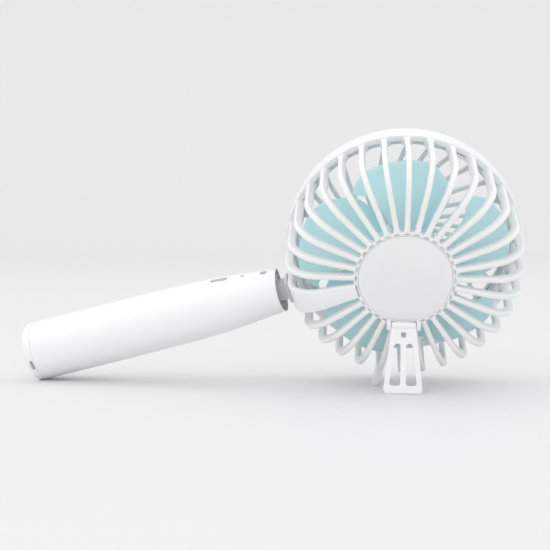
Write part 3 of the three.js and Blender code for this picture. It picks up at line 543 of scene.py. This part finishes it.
@dataclass
class RearGuard:
    """The slatted basket behind the impeller, with its hub, rim ring, petal, hinge ears and toe."""

    radius: float = 51.8
    depth: float = 36.0
    shoulder: float = 14.5
    count: int = 32
    rib_width: float = 2.3
    rib_depth: float = 3.8
    ring_outer: float = 52.6
    ring_inner: float = 49.6
    ring_height: float = 2.6
    hub_radius: float = 21.8
    hub_rim: float = 1.8
    hub_front: float = 32.2
    cap_seat: float = 34.3
    handle_angle: float = 90.0
    stand_place: float = 6.5

    @property
    def pitch(self) -> float:
        """Give the angle between ribs in degrees."""
        return 360.0 / self.count

    @property
    def stand_angle(self) -> float:
        """Give the angle at which the kickstand is hinged, in degrees."""
        return self.handle_angle - self.stand_place * self.pitch

    def outline(self, samples: int = 46) -> np.ndarray:
        """Follow the outside of a rib from the rim to the hub.

        Straight down the side, a quarter circle of the shoulder radius, then straight in, with
        samples closer together at both ends.

        Args:
            samples: Points along the outline.

        Returns:
            Array (samples, 2) of radius and depth.
        """
        start, end = 0.6, self.hub_radius - 1.2
        side = self.depth - self.shoulder - start
        bend = self.shoulder * math.pi / 2.0
        top = self.radius - self.shoulder - end
        length = side + bend + top
        t = np.linspace(0.0, 1.0, samples)
        s = length * (t - 0.055 * np.sin(2.0 * TAU * t) - 0.05 * np.sin(TAU * t))
        turn = np.clip((s - side) / self.shoulder, 0.0, math.pi / 2.0)
        centre_r, centre_d = self.radius - self.shoulder, self.depth - self.shoulder
        r = centre_r + self.shoulder * np.cos(turn) - np.maximum(0.0, s - side - bend)
        d = np.where(s < side, start + s, centre_d + self.shoulder * np.sin(turn))
        return np.stack([r, d], -1)

    def slat(self, angle: float, width: np.ndarray, depth: float, corner: float) -> Shell:
        """Sweep a rounded rectangle along the outline.

        A section point (a, b) at outline point (r, d) with inward normal n lies at radius
        r + b n_r and depth d + b n_d, turned about the axis by a / r from the slat's own angle.

        Args:
            angle: Where the slat stands, in degrees.
            width: Width at each outline point.
            depth: Thickness inwards.
            corner: Corner rounding.

        Returns:
            The closed shell.
        """
        path = self.outline(len(width))
        along = np.gradient(path, axis=0)
        along /= np.linalg.norm(along, axis=1)[:, None]
        inward = np.stack([-along[:, 1], along[:, 0]], -1)
        unit = section_loop(2.0, depth, corner, 3)
        edge = width[:, None] / 2.0 - 1.0
        across = unit[:, 0][None, :] + np.sign(unit[:, 0])[None, :] * edge
        down = np.broadcast_to(unit[:, 1][None, :], across.shape)
        r = path[:, 0][:, None] + down * inward[:, 0][:, None]
        d = path[:, 1][:, None] + down * inward[:, 1][:, None]
        a = math.radians(angle) + across / path[:, 0][:, None]
        return tube(np.stack([r * np.cos(a), -d, -r * np.sin(a)], -1))

    def flare(self, samples: int = 46) -> np.ndarray:
        """Give the extra width of a rib by its ends, so that each opening ends in a round.

        Within rho of an end the width grows by 2 (rho - sqrt(rho^2 - (rho - s)^2)).

        Args:
            samples: Points along the outline.

        Returns:
            Array (samples,) of extra width.
        """
        path = self.outline(samples)
        s = np.concatenate([[0.0], np.cumsum(np.linalg.norm(np.diff(path, axis=0), axis=1))])
        extra = np.zeros_like(s)
        for rho, distance in ((1.8, s - 1.9), (0.9, s[-1] - s - 1.1)):
            near = np.clip(rho - distance, 0.0, rho * 0.995)
            extra += 2.0 * (rho - np.sqrt(rho**2 - near**2))
        return extra

    def slats(self) -> Shell:
        """Make every rib but the two that the petal covers.

        Returns:
            The ribs as one shell.
        """
        width = self.rib_width + self.flare()
        places = [self.handle_angle + (index + 0.5) * self.pitch for index in range(1, self.count - 1)]
        return merged([self.slat(place, width, self.rib_depth, 0.75) for place in places])

    def petal(self) -> Shell:
        """Make the closed petal, as wide as two ribs and the gap between them.

        Returns:
            The closed shell.
        """
        width = self.outline()[:, 0] * math.radians(self.pitch) + self.rib_width
        width += 0.5 * self.flare()
        return self.slat(self.handle_angle, width, 2.6, 0.7)

    def ring(self) -> Shell:
        """Make the rim ring."""
        corners = [
            (self.ring_inner, 0.0),
            (self.ring_outer, 0.0),
            (self.ring_outer, self.ring_height),
            (self.ring_inner, self.ring_height),
        ]
        return turned(filleted(corners, 0.7, True), 192)

    def hub(self) -> Shell:
        """Make the hub with its raised rim.

        Returns:
            The closed shell.
        """
        seat = self.hub_radius - self.hub_rim
        corners = [
            (0.0, self.hub_front),
            (self.hub_radius - 0.4, self.hub_front),
            (self.hub_radius, self.depth),
            (seat, self.depth),
            (seat, self.cap_seat),
            (0.0, self.cap_seat),
        ]
        return turned(filleted(corners, 0.45, False), 128)

    def ears(self) -> list[Shell]:
        """Make the two ears that hold the kickstand's pin.

        Returns:
            The two closed shells.
        """
        reach, half, wide = self.hub_radius - 0.6, 5.5, 1.8
        spans = [(half, half + wide), (-half - wide, -half)]
        low, high = -(self.depth + 3.6), -(self.depth - 2.0)
        boxes = [pillow((reach - 1.6, low, a), (reach + 1.6, high, b), 0.6) for a, b in spans]
        return [about_axis(box, self.stand_angle) for box in boxes]

    def toe(self) -> Shell:
        """Make the toe: a lug that widens the rib beside the stand down to the table.

        Returns:
            The closed shell.
        """
        low = (self.radius - 6.0, -31.6, -1.5)
        high = (self.radius + 6.2, -25.0, 1.5)
        return about_axis(pillow(low, high, 0.5), self.stand_angle + self.pitch)

    def build(self) -> None:
        """Make the guard's pieces and hand them to the head."""
        basket = merged([self.slats(), self.petal(), *self.ears(), self.toe()])
        made = as_object("guard_slats", basket, HEAD, 50.0)
        finished(made, GUARD_WHITE, Body.HEAD, "white_plastic", "rear_guard")
        rim = as_object("guard_rim_ring", self.ring(), HEAD)
        finished(rim, GUARD_WHITE, Body.HEAD, "white_plastic")
        hub = as_object("guard_hub", self.hub(), HEAD)
        finished(hub, GUARD_WHITE, Body.HEAD, "white_plastic")
        self.cap()

    def cap(self) -> None:
        """Make the hub cap: a plain plate with a small edge round."""
        edge = self.hub_radius - self.hub_rim - 0.08
        back, front = self.depth - 0.1, 34.6
        corners = [(0.0, back), (edge, back), (edge, front), (0.0, front)]
        made = as_object("hub_cap_plate", turned(filleted(corners, 0.25, False, 4), 128), HEAD, 60.0)
        finished(made, LABEL_GREY, Body.HEAD, "grey_plastic", "hub_cap")


# ---- front cover -------------------------------------------------------------------------------


@dataclass
class FrontCover:
    """The removable front cover with its swirled grille and centre badge."""

    outer: float = 52.4
    wall: float = 2.2
    height: float = 8.4
    round_over: float = 3.4
    bars: int = 28
    bar_width: float = 2.0
    bar_depth: float = 2.2
    sweep: float = 24.0
    grille: float = 47.2
    centre: float = 14.5
    band: float = 1.2
    gap: float = 0.3
    badge: float = 12.2
    tab_outer: float = 49.3

    def bar(self, index: int) -> Shell:
        """Sweep one bar from the centre to the border.

        At radius r its middle stands at the angle tan(sweep) ln(r / r0), so it crosses every
        radius at the same angle; the section is a rounded rectangle.

        Args:
            index: Which bar.

        Returns:
            The closed shell.
        """
        end = self.grille - self.gap - 0.5 * self.band
        r = np.linspace(self.centre - 1.0, end, 22)[:, None]
        slope = math.tan(math.radians(self.sweep))
        unit = section_loop(self.bar_width, self.bar_depth, 0.6, 3)
        fillet = 1.0 + 0.9 * np.exp(-(((end - r) / 1.3) ** 2))
        middle = slope * np.log(r / r[0]) + index * TAU / self.bars
        a = middle + unit[:, 0][None, :] * fillet / math.cos(math.radians(self.sweep)) / r
        y = np.broadcast_to(self.height - unit[:, 1][None, :], a.shape)
        return tube(np.stack([r * np.cos(a), y, -r * np.sin(a)], -1))

    def border(self) -> Shell:
        """Make the border: the side wall, the rounded shoulder and the lip of the grille.

        Returns:
            The closed shell.
        """
        inside = self.outer - self.wall
        corners = [
            (inside, -0.3),
            (self.outer, -0.3),
            (self.outer, -self.height),
            (self.grille, -self.height),
            (self.grille, -(self.height - self.bar_depth)),
            (inside - 0.8, -(self.height - self.bar_depth - 0.6)),
        ]
        shoulder = filleted(corners[1:4], self.round_over, False, 8)[1:-1]
        profile = np.vstack([corners[0], corners[1], shoulder, corners[3:]])
        return turned(profile, 192)

    def ring(self) -> Shell:
        """Make the grille's own outer ring, which sits in the border.

        Returns:
            The closed shell.
        """
        outer = self.grille - self.gap
        low, high = -self.height, -(self.height - self.bar_depth)
        corners = [(outer - self.band, low), (outer, low), (outer, high), (outer - self.band, high)]
        return turned(filleted(corners, 0.3, True, 3), 160)

    def seat(self) -> Shell:
        """Make the narrow ring that stands against the rim ring."""
        corners = [(47.5, -0.3), (50.6, -0.3), (50.6, -1.9), (47.5, -1.9)]
        return turned(filleted(corners, 0.3, True, 3), 160)

    def tabs(self) -> list[Shell]:
        """Make the four tabs that reach into the rim ring.

        Returns:
            The four closed shells.
        """
        low = (self.tab_outer - 1.5, -2.2, -3.5)
        high = (self.tab_outer, 1.7, 3.5)
        return [about_axis(pillow(low, high, 0.4), 45.0 + 90.0 * index) for index in range(4)]

    def hub(self) -> Shell:
        """Make the flat centre that the bars start from.

        Returns:
            The closed shell.
        """
        low, high = -self.height, -(self.height - self.bar_depth)
        corners = [(0.0, low), (self.centre, low), (self.centre, high), (0.0, high)]
        return turned(filleted(corners, 0.5, False), 96)

    def build(self) -> None:
        """Make the cover's pieces and hand them to it."""
        bars = [self.bar(index) for index in range(self.bars)]
        grille = as_object("cover_grille", merged([*bars, self.hub(), self.ring()]), HEAD, 50.0)
        finished(grille, GUARD_WHITE, Body.COVER, "white_plastic", "front_grille")
        shell = merged([self.border(), self.seat(), *self.tabs()])
        rim = as_object("cover_border", shell, HEAD, 50.0)
        finished(rim, GUARD_WHITE, Body.COVER, "white_plastic", "front_cover")
        back = -(self.height + 0.3)
        corners = [
            (0.0, back - 1.0),
            (self.badge - 2.6, back - 1.0),
            (self.badge - 2.2, back - 0.75),
            (self.badge - 1.6, back - 0.75),
            (self.badge - 0.6, back - 0.8),
            (self.badge, back - 0.1),
            (self.badge, back),
            (0.0, back),
        ]
        badge = as_object("cover_badge_plate", turned(filleted(corners, 0.2, False, 4), 96), HEAD, 60.0)
        finished(badge, LABEL_GREY, Body.COVER, "grey_plastic", "cover_badge")


# ---- impeller ----------------------------------------------------------------------------------


@dataclass
class Impeller:
    """The bladed rotor on its motor cup."""

    blades: int = 5
    tip: float = 46.4
    phase: float = -9.0
    cup: float = 16.0
    wall: float = 1.6
    front: float = 9.0
    back: float = 27.0
    nose: float = 2.4
    middle: float = 17.0
    root_twist: float = 13.0
    tip_twist: float = 9.0
    chord: float = 60.0
    sweep: float = 16.0
    thickness: float = 1.5

    def blade(self, index: int) -> Shell:
        """Skin one twisted blade.

        For s across the chord from -1/2 to 1/2 and t from root to tip, the angle is
        chord s + sweep t^2, the depth is middle + twist s + 1.6 (1/4 - s^2), and the two faces
        stand apart by thickness sqrt(1 - |2 s|^6), so both edges are round.

        Args:
            index: Which blade.

        Returns:
            The closed shell.
        """
        t = np.linspace(0.0, 1.0, 30)[:, None]
        loop = np.linspace(0.0, TAU, 64, endpoint=False)[None, :]
        s = 0.5 * np.sign(np.cos(loop)) * np.abs(np.cos(loop)) ** 0.8
        close = np.sqrt(np.clip(1.0 - ((t - 0.965) / 0.035).clip(0.0, 0.98) ** 2, 0.0, 1.0))
        thick = self.thickness * (1.0 - 0.35 * t) * close
        lift = 0.5 * thick * np.sign(np.sin(loop)) * np.sqrt(np.clip(1.0 - np.abs(2.0 * s) ** 6, 0.0, 1.0))
        root = self.cup - self.wall / 2.0
        taper = 1.0 - 0.16 * (2.0 * s) ** 4 * t
        r = (root + (self.tip - root) * t) * (1.0 + (taper - 1.0) * np.clip(2.0 * t - 1.0, 0.0, 1.0))
        turn = math.radians(self.chord) * s + math.radians(self.sweep) * t**2
        twist = self.root_twist + (self.tip_twist - self.root_twist) * t
        depth = self.middle + twist * s + 1.6 * (0.25 - s**2) + lift
        grid = np.stack([r * np.cos(turn), -depth, r * np.sin(turn)], -1)
        return about_axis(tube(grid), self.phase + 360.0 * index / self.blades)

    def hub(self) -> Shell:
        """Make the cup with a crowned nose and an open back.

        Returns:
            The closed shell.
        """
        inside = self.cup - self.wall
        crown_r = np.linspace(0.0, self.cup - 1.0, 14)
        crown_d = self.front - self.nose * np.sqrt(np.clip(1.0 - (crown_r / self.cup) ** 2, 0.0, 1.0))
        rest = filleted(
            [
                (self.cup - 1.0, float(crown_d[-1])),
                (self.cup, self.front + 1.4),
                (self.cup, self.back),
                (inside, self.back),
                (inside, self.front + 2.4),
                (3.2, self.front + 1.8),
                (3.2, 13.8),
                (0.0, 13.8),
            ],
            0.5,
            False,
        )
        profile = np.vstack([np.stack([crown_r, crown_d], -1), rest[1:]])
        return turned(profile, 128)

    def build(self) -> None:
        """Make the impeller and hand it to the rotor."""
        shell = merged([self.hub(), *[self.blade(index) for index in range(self.blades)]])
        made = as_object("impeller_blades", shell, HEAD, 50.0)
        finished(made, BLADE_MINT, Body.ROTOR, "mint_plastic", "impeller")


# ---- handle ------------------------------------------------------------------------------------


@dataclass
class Handle:
    """The battery handle: swelling shell, end cap, button, neck and openings."""

    neck: float = 57.0
    neck_start: float = 56.2
    end: float = 177.5
    cap_length: float = 4.1
    neck_radius: float = 9.7
    grip_radius: float = 13.6
    pin_reach: float = 61.6
    cup_radius: float = 8.1
    cheek: float = 5.3
    end_round: float = 3.4
    lamp_reach: float = 71.2
    socket_reach: float = 82.0
    button_reach: float = 88.0
    button_radius: float = 4.3

    def radius_at(self, reach: np.ndarray) -> np.ndarray:
        """Give the outside radius: a smooth monotone rise from the neck to the grip.

        Args:
            reach: Distances down the handle.

        Returns:
            The radius at each.
        """
        along = np.array([0.0, 0.08, 0.18, 0.295, 0.46, 0.69, 1.0])
        swell = np.array([0.0, 0.28, 0.59, 0.82, 0.935, 0.987, 1.0])
        share = np.clip((reach - self.neck_start) / (self.end - self.neck_start), 0.0, 1.0)
        slope = np.gradient(swell, along)
        k = np.clip(np.searchsorted(along, share, side="right") - 1, 0, len(along) - 2)
        h = along[k + 1] - along[k]
        u = (share - along[k]) / h
        value = (
            (2 * u**3 - 3 * u**2 + 1) * swell[k]
            + (u**3 - 2 * u**2 + u) * h * slope[k]
            + (-2 * u**3 + 3 * u**2) * swell[k + 1]
            + (u**3 - u**2) * h * slope[k + 1]
        )
        return self.neck_radius + (self.grip_radius - self.neck_radius) * value

    def plug(self, radius: float, low: float, high: float, reach: float) -> Shell:
        """Make a round bar along X through the handle at a reach.

        Args:
            radius: Radius of the bar.
            low: Where it starts across.
            high: Where it ends across.
            reach: How far down the handle it stands.

        Returns:
            The closed cutter.
        """
        angle = np.linspace(0.0, TAU, 40, endpoint=False)
        x = np.array([low, high])[:, None]
        y, z = radius * np.cos(angle), radius * np.sin(angle) - reach
        return tube(np.stack(np.broadcast_arrays(x, y, z), -1))

    def neck_hollow(self) -> Shell:
        """Make the cutter for the hollow neck end, a bar about the head's axis."""
        corners = np.array([(0.0, 30.0), (self.neck, 30.0), (self.neck, -30.0), (0.0, -30.0)])
        return turned(corners, 256)

    def cup(self) -> Shell:
        """Make the cutter for the neck cup: a circle cut off at two flat cheeks.

        Returns:
            The closed cutter.
        """
        angle = np.linspace(0.0, TAU, 96, endpoint=False)
        x = np.clip(self.cup_radius * np.cos(angle), -self.cheek, self.cheek)
        y = self.cup_radius * np.sin(angle)
        z = -np.array([50.0, 66.6])[:, None]
        return tube(np.stack(np.broadcast_arrays(x, y, z), -1))

    def pill(self, length: float, height: float, low: float, high: float, reach: float) -> Shell:
        """Make a bar along X with a rounded rectangle for its section.

        Args:
            length: Length of the opening.
            height: Height of the opening.
            low: Where it starts across.
            high: Where it ends across.
            reach: How far down the handle it stands.

        Returns:
            The closed cutter.
        """
        loop = section_loop(length, height, 0.5 * height, 8) - np.array([0.0, height / 2.0])
        x = np.array([low, high])[:, None]
        y, z = loop[:, 1][None, :], loop[:, 0][None, :] - reach
        return tube(np.stack(np.broadcast_arrays(x, y, z), -1))

    def button_hole(self) -> Shell:
        """Make the cutter for the button's opening, from the middle of the handle forwards.

        Returns:
            The closed cutter.
        """
        corners = np.array([(0.0, -2.0), (4.6, -2.0), (4.6, -22.0), (0.0, -22.0)])
        shell = turned(corners, 64)
        return Shell(shell.verts - np.array([0.0, 0.0, self.button_reach]), shell.quads, shell.tris)

    def shell(self) -> None:
        """Make the handle shell with all its openings."""
        reach = np.linspace(self.neck_start, self.end - self.cap_length + 0.1, 90)
        outside = np.stack([self.radius_at(reach), reach], -1)
        outside[-1, 0] -= 0.1
        profile = np.vstack([(0.0, self.neck_start), outside, (0.0, reach[-1])])
        made = as_object("handle_body", along_handle(turned(profile, 160)), HANDLE)
        inner = turned(np.array([(0.0, 69.5), (8.6, 69.5), (11.5, 100.0), (11.6, 172.0), (0.0, 172.0)]), 64)
        carved(
            made,
            [
                self.cup(),
                self.plug(1.62, -20.0, 20.0, self.pin_reach),
                self.plug(0.92, -20.0, -6.0, self.lamp_reach),
                self.pill(7.8, 2.7, -20.0, -6.6, self.socket_reach),
                self.button_hole(),
                along_handle(inner),
                self.neck_hollow(),
            ],
            HANDLE,
            32.0,
        )
        finished(made, HANDLE_WHITE, Body.HANDLE, "white_plastic", "handle_shell")

    def cap(self) -> None:
        """Make the end cap with its rounded edge, its shadow gap and the strap slot."""
        start = self.end - self.cap_length + 0.2
        corners = [
            (0.0, 166.2),
            (11.3, 166.2),
            (11.3, start),
            (self.grip_radius - 0.1, start),
            (self.grip_radius, start + 0.15),
            (self.grip_radius, self.end),
            (0.0, self.end),
        ]
        head = filleted(corners[4:7], self.end_round, False, 12)
        profile = np.vstack([corners[:4], head])
        made = as_object("handle_end_cap", along_handle(turned(profile, 160)), HANDLE)
        slot = pillow((-2.3, -16.0, -175.6), (2.3, -8.6, -174.1), 0.4)
        well = pillow((-2.3, -10.1, -179.0), (2.3, -8.6, -174.1), 0.4)
        carved(made, [slot, well], HANDLE, 32.0)
        finished(made, HANDLE_WHITE, Body.HANDLE, "white_plastic", "end_cap")

    def button(self) -> None:
        """Make the power button, whose crown follows the round of the handle.

        The crown stands at y = sqrt(R^2 - x^2), less a round of half a millimetre at the rim.
        """
        surface = float(self.radius_at(np.array([self.button_reach]))[0]) + 0.6
        angle = np.linspace(0.0, TAU, 64, endpoint=False)[None, :]
        inner = self.button_radius - 0.5
        u = np.linspace(0.0, 1.0, 7)
        rho = np.concatenate([np.linspace(0.05, inner, 14), inner + 0.5 * np.sin(u[1:] * math.pi / 2.0)])
        drop = np.concatenate([np.zeros(14), 0.5 * (1.0 - np.cos(u[1:] * math.pi / 2.0))])
        rho, drop = rho[:, None], drop[:, None]
        x, z = rho * np.cos(angle), rho * np.sin(angle)
        dish = 0.25 * np.exp(-((rho / 2.2) ** 2))
        y = np.sqrt(surface**2 - x**2) - drop - dish
        foot = np.stack([x[-1], np.full_like(x[-1], 8.0), z[-1]], -1)[None]
        grid = np.concatenate([np.stack([x, y, z], -1), foot])
        grid[..., 2] -= self.button_reach
        made = as_object("power_button_cap", tube(grid), HANDLE, 50.0)
        finished(made, SOFT_GREY, Body.BUTTON, "grey_plastic", "power_button")

    def build(self) -> None:
        """Make the handle's pieces."""
        self.shell()
        self.cap()
        self.button()
        neck = softened("neck_bracket", 0.35)
        finished(neck, SOFT_GREY, Body.HEAD, "grey_plastic", "neck_bracket")


# ---- kickstand ---------------------------------------------------------------------------------


@dataclass
class Kickstand:
    """The fold-out kickstand: a flat tapering frame with two long windows and a small one.

    It is drawn flat, with X from the hinge to the foot, Y through its thickness and Z across.
    """

    hinge: float = 21.2
    depth: float = 38.0
    open: float = 31.0
    angle: float = 16.875
    length: float = 28.6
    spare: float = 1.2
    top_width: float = 10.4
    foot_width: float = 17.2
    thickness: float = 2.2
    bar: float = 2.3
    foot_bar: float = 3.0
    plate: float = 7.6
    window: float = 2.2
    barrel: float = 1.6
    corner: float = 3.4
    edge: float = 0.5

    def width(self, x: np.ndarray) -> np.ndarray:
        """Give the taper's width at a distance from the hinge."""
        return self.top_width + (self.foot_width - self.top_width) * x / self.length

    def opened(self, shell: Shell) -> Shell:
        """Swing a shell out about the hinge and bring it to its place on the guard.

        Args:
            shell: The shell in the flat frame.

        Returns:
            The shell in the drawing frame.
        """
        a = math.radians(self.open)
        x, y, z = shell.verts.T
        swung_x = x * math.cos(a) + y * math.sin(a) + self.hinge
        swung_y = y * math.cos(a) - x * math.sin(a) - self.depth
        return about_axis(Shell(np.stack([swung_x, swung_y, z], -1), shell.quads, shell.tris), self.angle)

    def blank(self) -> Shell:
        """Make the plate before its windows are cut.

        Each section is a rounded rectangle. Over the last corner radius before an end the
        half width shrinks by c - sqrt(c^2 - u^2), where u runs from 0 to c.

        Returns:
            The closed shell in the flat frame.
        """
        end = self.length + self.spare
        u = np.sin(np.linspace(0.0, 1.0, 12) * math.pi / 2.0) * 0.985
        low = 1.5 * (1.0 - u[::-1]) - 1.4
        high = end - self.corner * (1.0 - u)
        x = np.concatenate([low, np.linspace(0.6, high[0], 20)[:-1], high])
        loss = np.concatenate([1.5 * (1.0 - np.sqrt(1.0 - u[::-1] ** 2)), np.zeros(19)])
        loss = np.concatenate([loss, self.corner * (1.0 - np.sqrt(1.0 - u**2))])
        half = (self.width(x) / 2.0 - loss)[:, None]
        unit = section_loop(2.0, self.thickness, self.edge, 4) - np.array([0.0, self.thickness / 2.0])
        z = unit[:, 0][None, :] + np.sign(unit[:, 0])[None, :] * (half - 1.0)
        y = np.broadcast_to(unit[:, 1][None, :], z.shape)
        return tube(np.stack([np.broadcast_to(x[:, None], z.shape), y, z], -1))

    def hole(self, corners: list[tuple[float, float]], radius: float) -> Shell:
        """Make a prism through the plate.

        Args:
            corners: Corners as distance from the hinge and distance across.
            radius: Corner rounding.

        Returns:
            The closed shell in the flat frame.
        """
        loop = filleted(corners, radius, True, 6)
        y = np.array([-4.0, 4.0])[:, None]
        return tube(np.stack(np.broadcast_arrays(loop[:, 0][None, :], y, loop[:, 1][None, :]), -1))

    def windows(self) -> list[Shell]:
        """Make the cutters for the two long windows and the small one by the hinge.

        Returns:
            The closed cutters.
        """
        start, end = self.plate, self.length - self.foot_bar
        near = self.bar / 2.0
        far_start = float(self.width(np.array(start))) / 2.0 - self.bar
        far_end = float(self.width(np.array(end))) / 2.0 - self.bar
        first, half = self.barrel + 1.2, self.window / 2.0
        right = [(start, near), (end, near), (end, far_end), (start, far_start)]
        left = [(x, -z) for x, z in right]
        small = [(first, -half), (first + self.window, -half), (first + self.window, half), (first, half)]
        return [self.hole(right, 1.5), self.hole(left, 1.5), self.hole(small, 0.4)]

    def knuckle(self) -> Shell:
        """Make the barrel round the hinge pin.

        Returns:
            The closed shell.
        """
        angle = np.linspace(0.0, TAU, 40, endpoint=False)
        half = self.top_width / 2.0
        z = np.array([-half, -half + 0.3, half - 0.3, half])[:, None]
        radius = np.array([self.barrel - 0.3, self.barrel, self.barrel, self.barrel - 0.3])[:, None]
        return tube(np.stack(np.broadcast_arrays(radius * np.cos(angle), radius * np.sin(angle), z), -1))

    def build(self) -> None:
        """Cut the windows, round their rims and hand the stand to its body."""
        made = as_object("kickstand_frame", self.opened(self.blank()), HEAD)
        carved(made, [self.opened(cutter) for cutter in self.windows()], HEAD, 40.0)
        rounded_edges(made, 0.3, 45.0)
        finished(made, GUARD_WHITE, Body.STAND, "white_plastic", "kickstand")
        barrel = as_object("kickstand_barrel", self.opened(self.knuckle()), HEAD)
        finished(barrel, GUARD_WHITE, Body.STAND, "white_plastic")


# ---- inner pieces ------------------------------------------------------------------------------


@dataclass
class Works:
    """The inner pieces that keep their CAD shape: motor, board, cell, contacts and fasteners."""

    def build(self) -> None:
        """Give every inner piece its finish."""
        dressing = {
            BRIGHT_STEEL: (
                "motor_shaft",
                "bearing_front",
                "bearing_rear",
                "motor_screw_1",
                "motor_screw_2",
                "motor_screw_3",
                "stand_pin",
                "neck_screw",
                "hinge_pin",
                "friction_washer_1",
                "friction_washer_2",
                "charging_socket",
                "plus_contact",
                "minus_spring",
                "minus_contact",
            ),
            MAGNET_BLACK: ("magnet_ring",),
            COPPER_WINDING: ("stator_core",),
            CAST_ALUMINIUM: ("motor_base",),
            BOARD_GREEN: ("motor_board", "circuit_board"),
            CELL_WRAP: ("battery_cell",),
            DARK_MOULDING: ("battery_sled", "switch_body"),
            CLEAR_LENS: ("light_pipe",),
        }
        for finish, nodes in dressing.items():
            for node in nodes:
                piece = frame["nodes"][node]
                piece.data.materials.clear()
                piece.data.materials.append(finish.material())
                log.info("%s: %s", node, finish.name)


# ---- studio ------------------------------------------------------------------------------------


@dataclass
class Studio:
    """A pale table that sweeps up behind, soft lights and the camera."""

    camera_at: tuple[float, float, float] = (0.0419, -0.5213, 0.0743)
    bearing: float = -4.2
    pitch: float = -2.72
    lens: float = 77.0
    sky: float = 1.12
    front: float = -3.0
    bend: float = 1.6
    half_width: float = 4.0
    wall_height: float = 4.0
    drop: float = 0.0002

    def sweep(self) -> None:
        """Make the table and backdrop as one curved sheet.

        The height is 0 up to the bend and then rises along a quarter circle of 1 m.
        """
        turn = np.linspace(0.1, 1.57, 16)
        v = np.concatenate([np.linspace(self.front, self.bend, 12), self.bend + np.sin(turn)])
        z = np.concatenate([np.zeros(12), 1.0 - np.cos(turn)])
        v, z = np.append(v, self.bend + 1.0), np.append(z, self.wall_height)
        x = np.linspace(-self.half_width, self.half_width, 9)
        grid = np.stack(np.broadcast_arrays(x[None, :], v[:, None], z[:, None] - self.drop), -1)
        rows, cols = grid.shape[:2]
        i, j = np.arange(rows - 1)[:, None], np.arange(cols - 1)[None, :]
        a = i * cols + j
        quads = np.stack([a, a + 1, a + cols + 1, a + cols], -1).reshape(-1, 4)
        mesh = bpy.data.meshes.new("table_sheet")
        mesh.from_pydata(grid.reshape(-1, 3).tolist(), [], quads.tolist())
        shaded(mesh, 60.0)
        made = bpy.data.objects.new("table_sheet", mesh)
        bpy.context.scene.collection.objects.link(made)
        paper = Finish("table_paper", (0.76, 0.76, 0.764), 0.6, mottle=0.0, bump=0.0)
        made.data.materials.append(paper.material())

    def lamp(self, name: str, at: tuple[float, float, float], size: float, power: float) -> None:
        """Hang a square soft light that faces the fan.

        Args:
            name: Object name.
            at: Where it hangs, in metres.
            size: Edge length in metres.
            power: Watts.
        """
        data = bpy.data.lights.new(name, "AREA")
        data.energy, data.size = power, size
        made = bpy.data.objects.new(name, data)
        made.location = at
        direction = Vector((0.0, 0.0, 0.05)) - Vector(at)
        made.rotation_euler = direction.to_track_quat("-Z", "Y").to_euler()
        bpy.context.scene.collection.objects.link(made)

    def camera(self) -> None:
        """Set up the camera from its place, bearing and pitch."""
        data = bpy.data.cameras.new("camera")
        data.lens, data.sensor_width = self.lens, 36.0
        data.clip_start, data.clip_end = 0.01, 50.0
        made = bpy.data.objects.new("camera", data)
        made.location = self.camera_at
        turn = math.radians(-self.bearing)
        made.rotation_euler = (math.radians(90.0 + self.pitch), 0.0, turn)
        bpy.context.scene.collection.objects.link(made)
        bpy.context.scene.camera = made

    def build(self) -> None:
        """Set the whole studio up."""
        scene = bpy.context.scene
        scene.view_settings.view_transform = "Standard"
        world = bpy.data.worlds.new("studio")
        world.use_nodes = True
        world.node_tree.nodes["Background"].inputs["Color"].default_value = (1.0, 1.0, 1.0, 1.0)
        world.node_tree.nodes["Background"].inputs["Strength"].default_value = self.sky
        scene.world = world
        self.sweep()
        self.lamp("key_light", (-0.7, -0.9, 1.3), 1.2, 2.4)
        self.lamp("top_light", (0.2, 0.5, 1.5), 1.4, 2.0)
        self.camera()


def main() -> None:
    """Build every sub-assembly in order and report it."""
    logging.basicConfig(level=logging.INFO, format="%(message)s")
    for assembly in (RearGuard(), FrontCover(), Impeller(), Handle(), Kickstand(), Works(), Studio()):
        assembly.build()
        log.info("built %s", type(assembly).__name__)


if __name__ == "__main__":
    main()
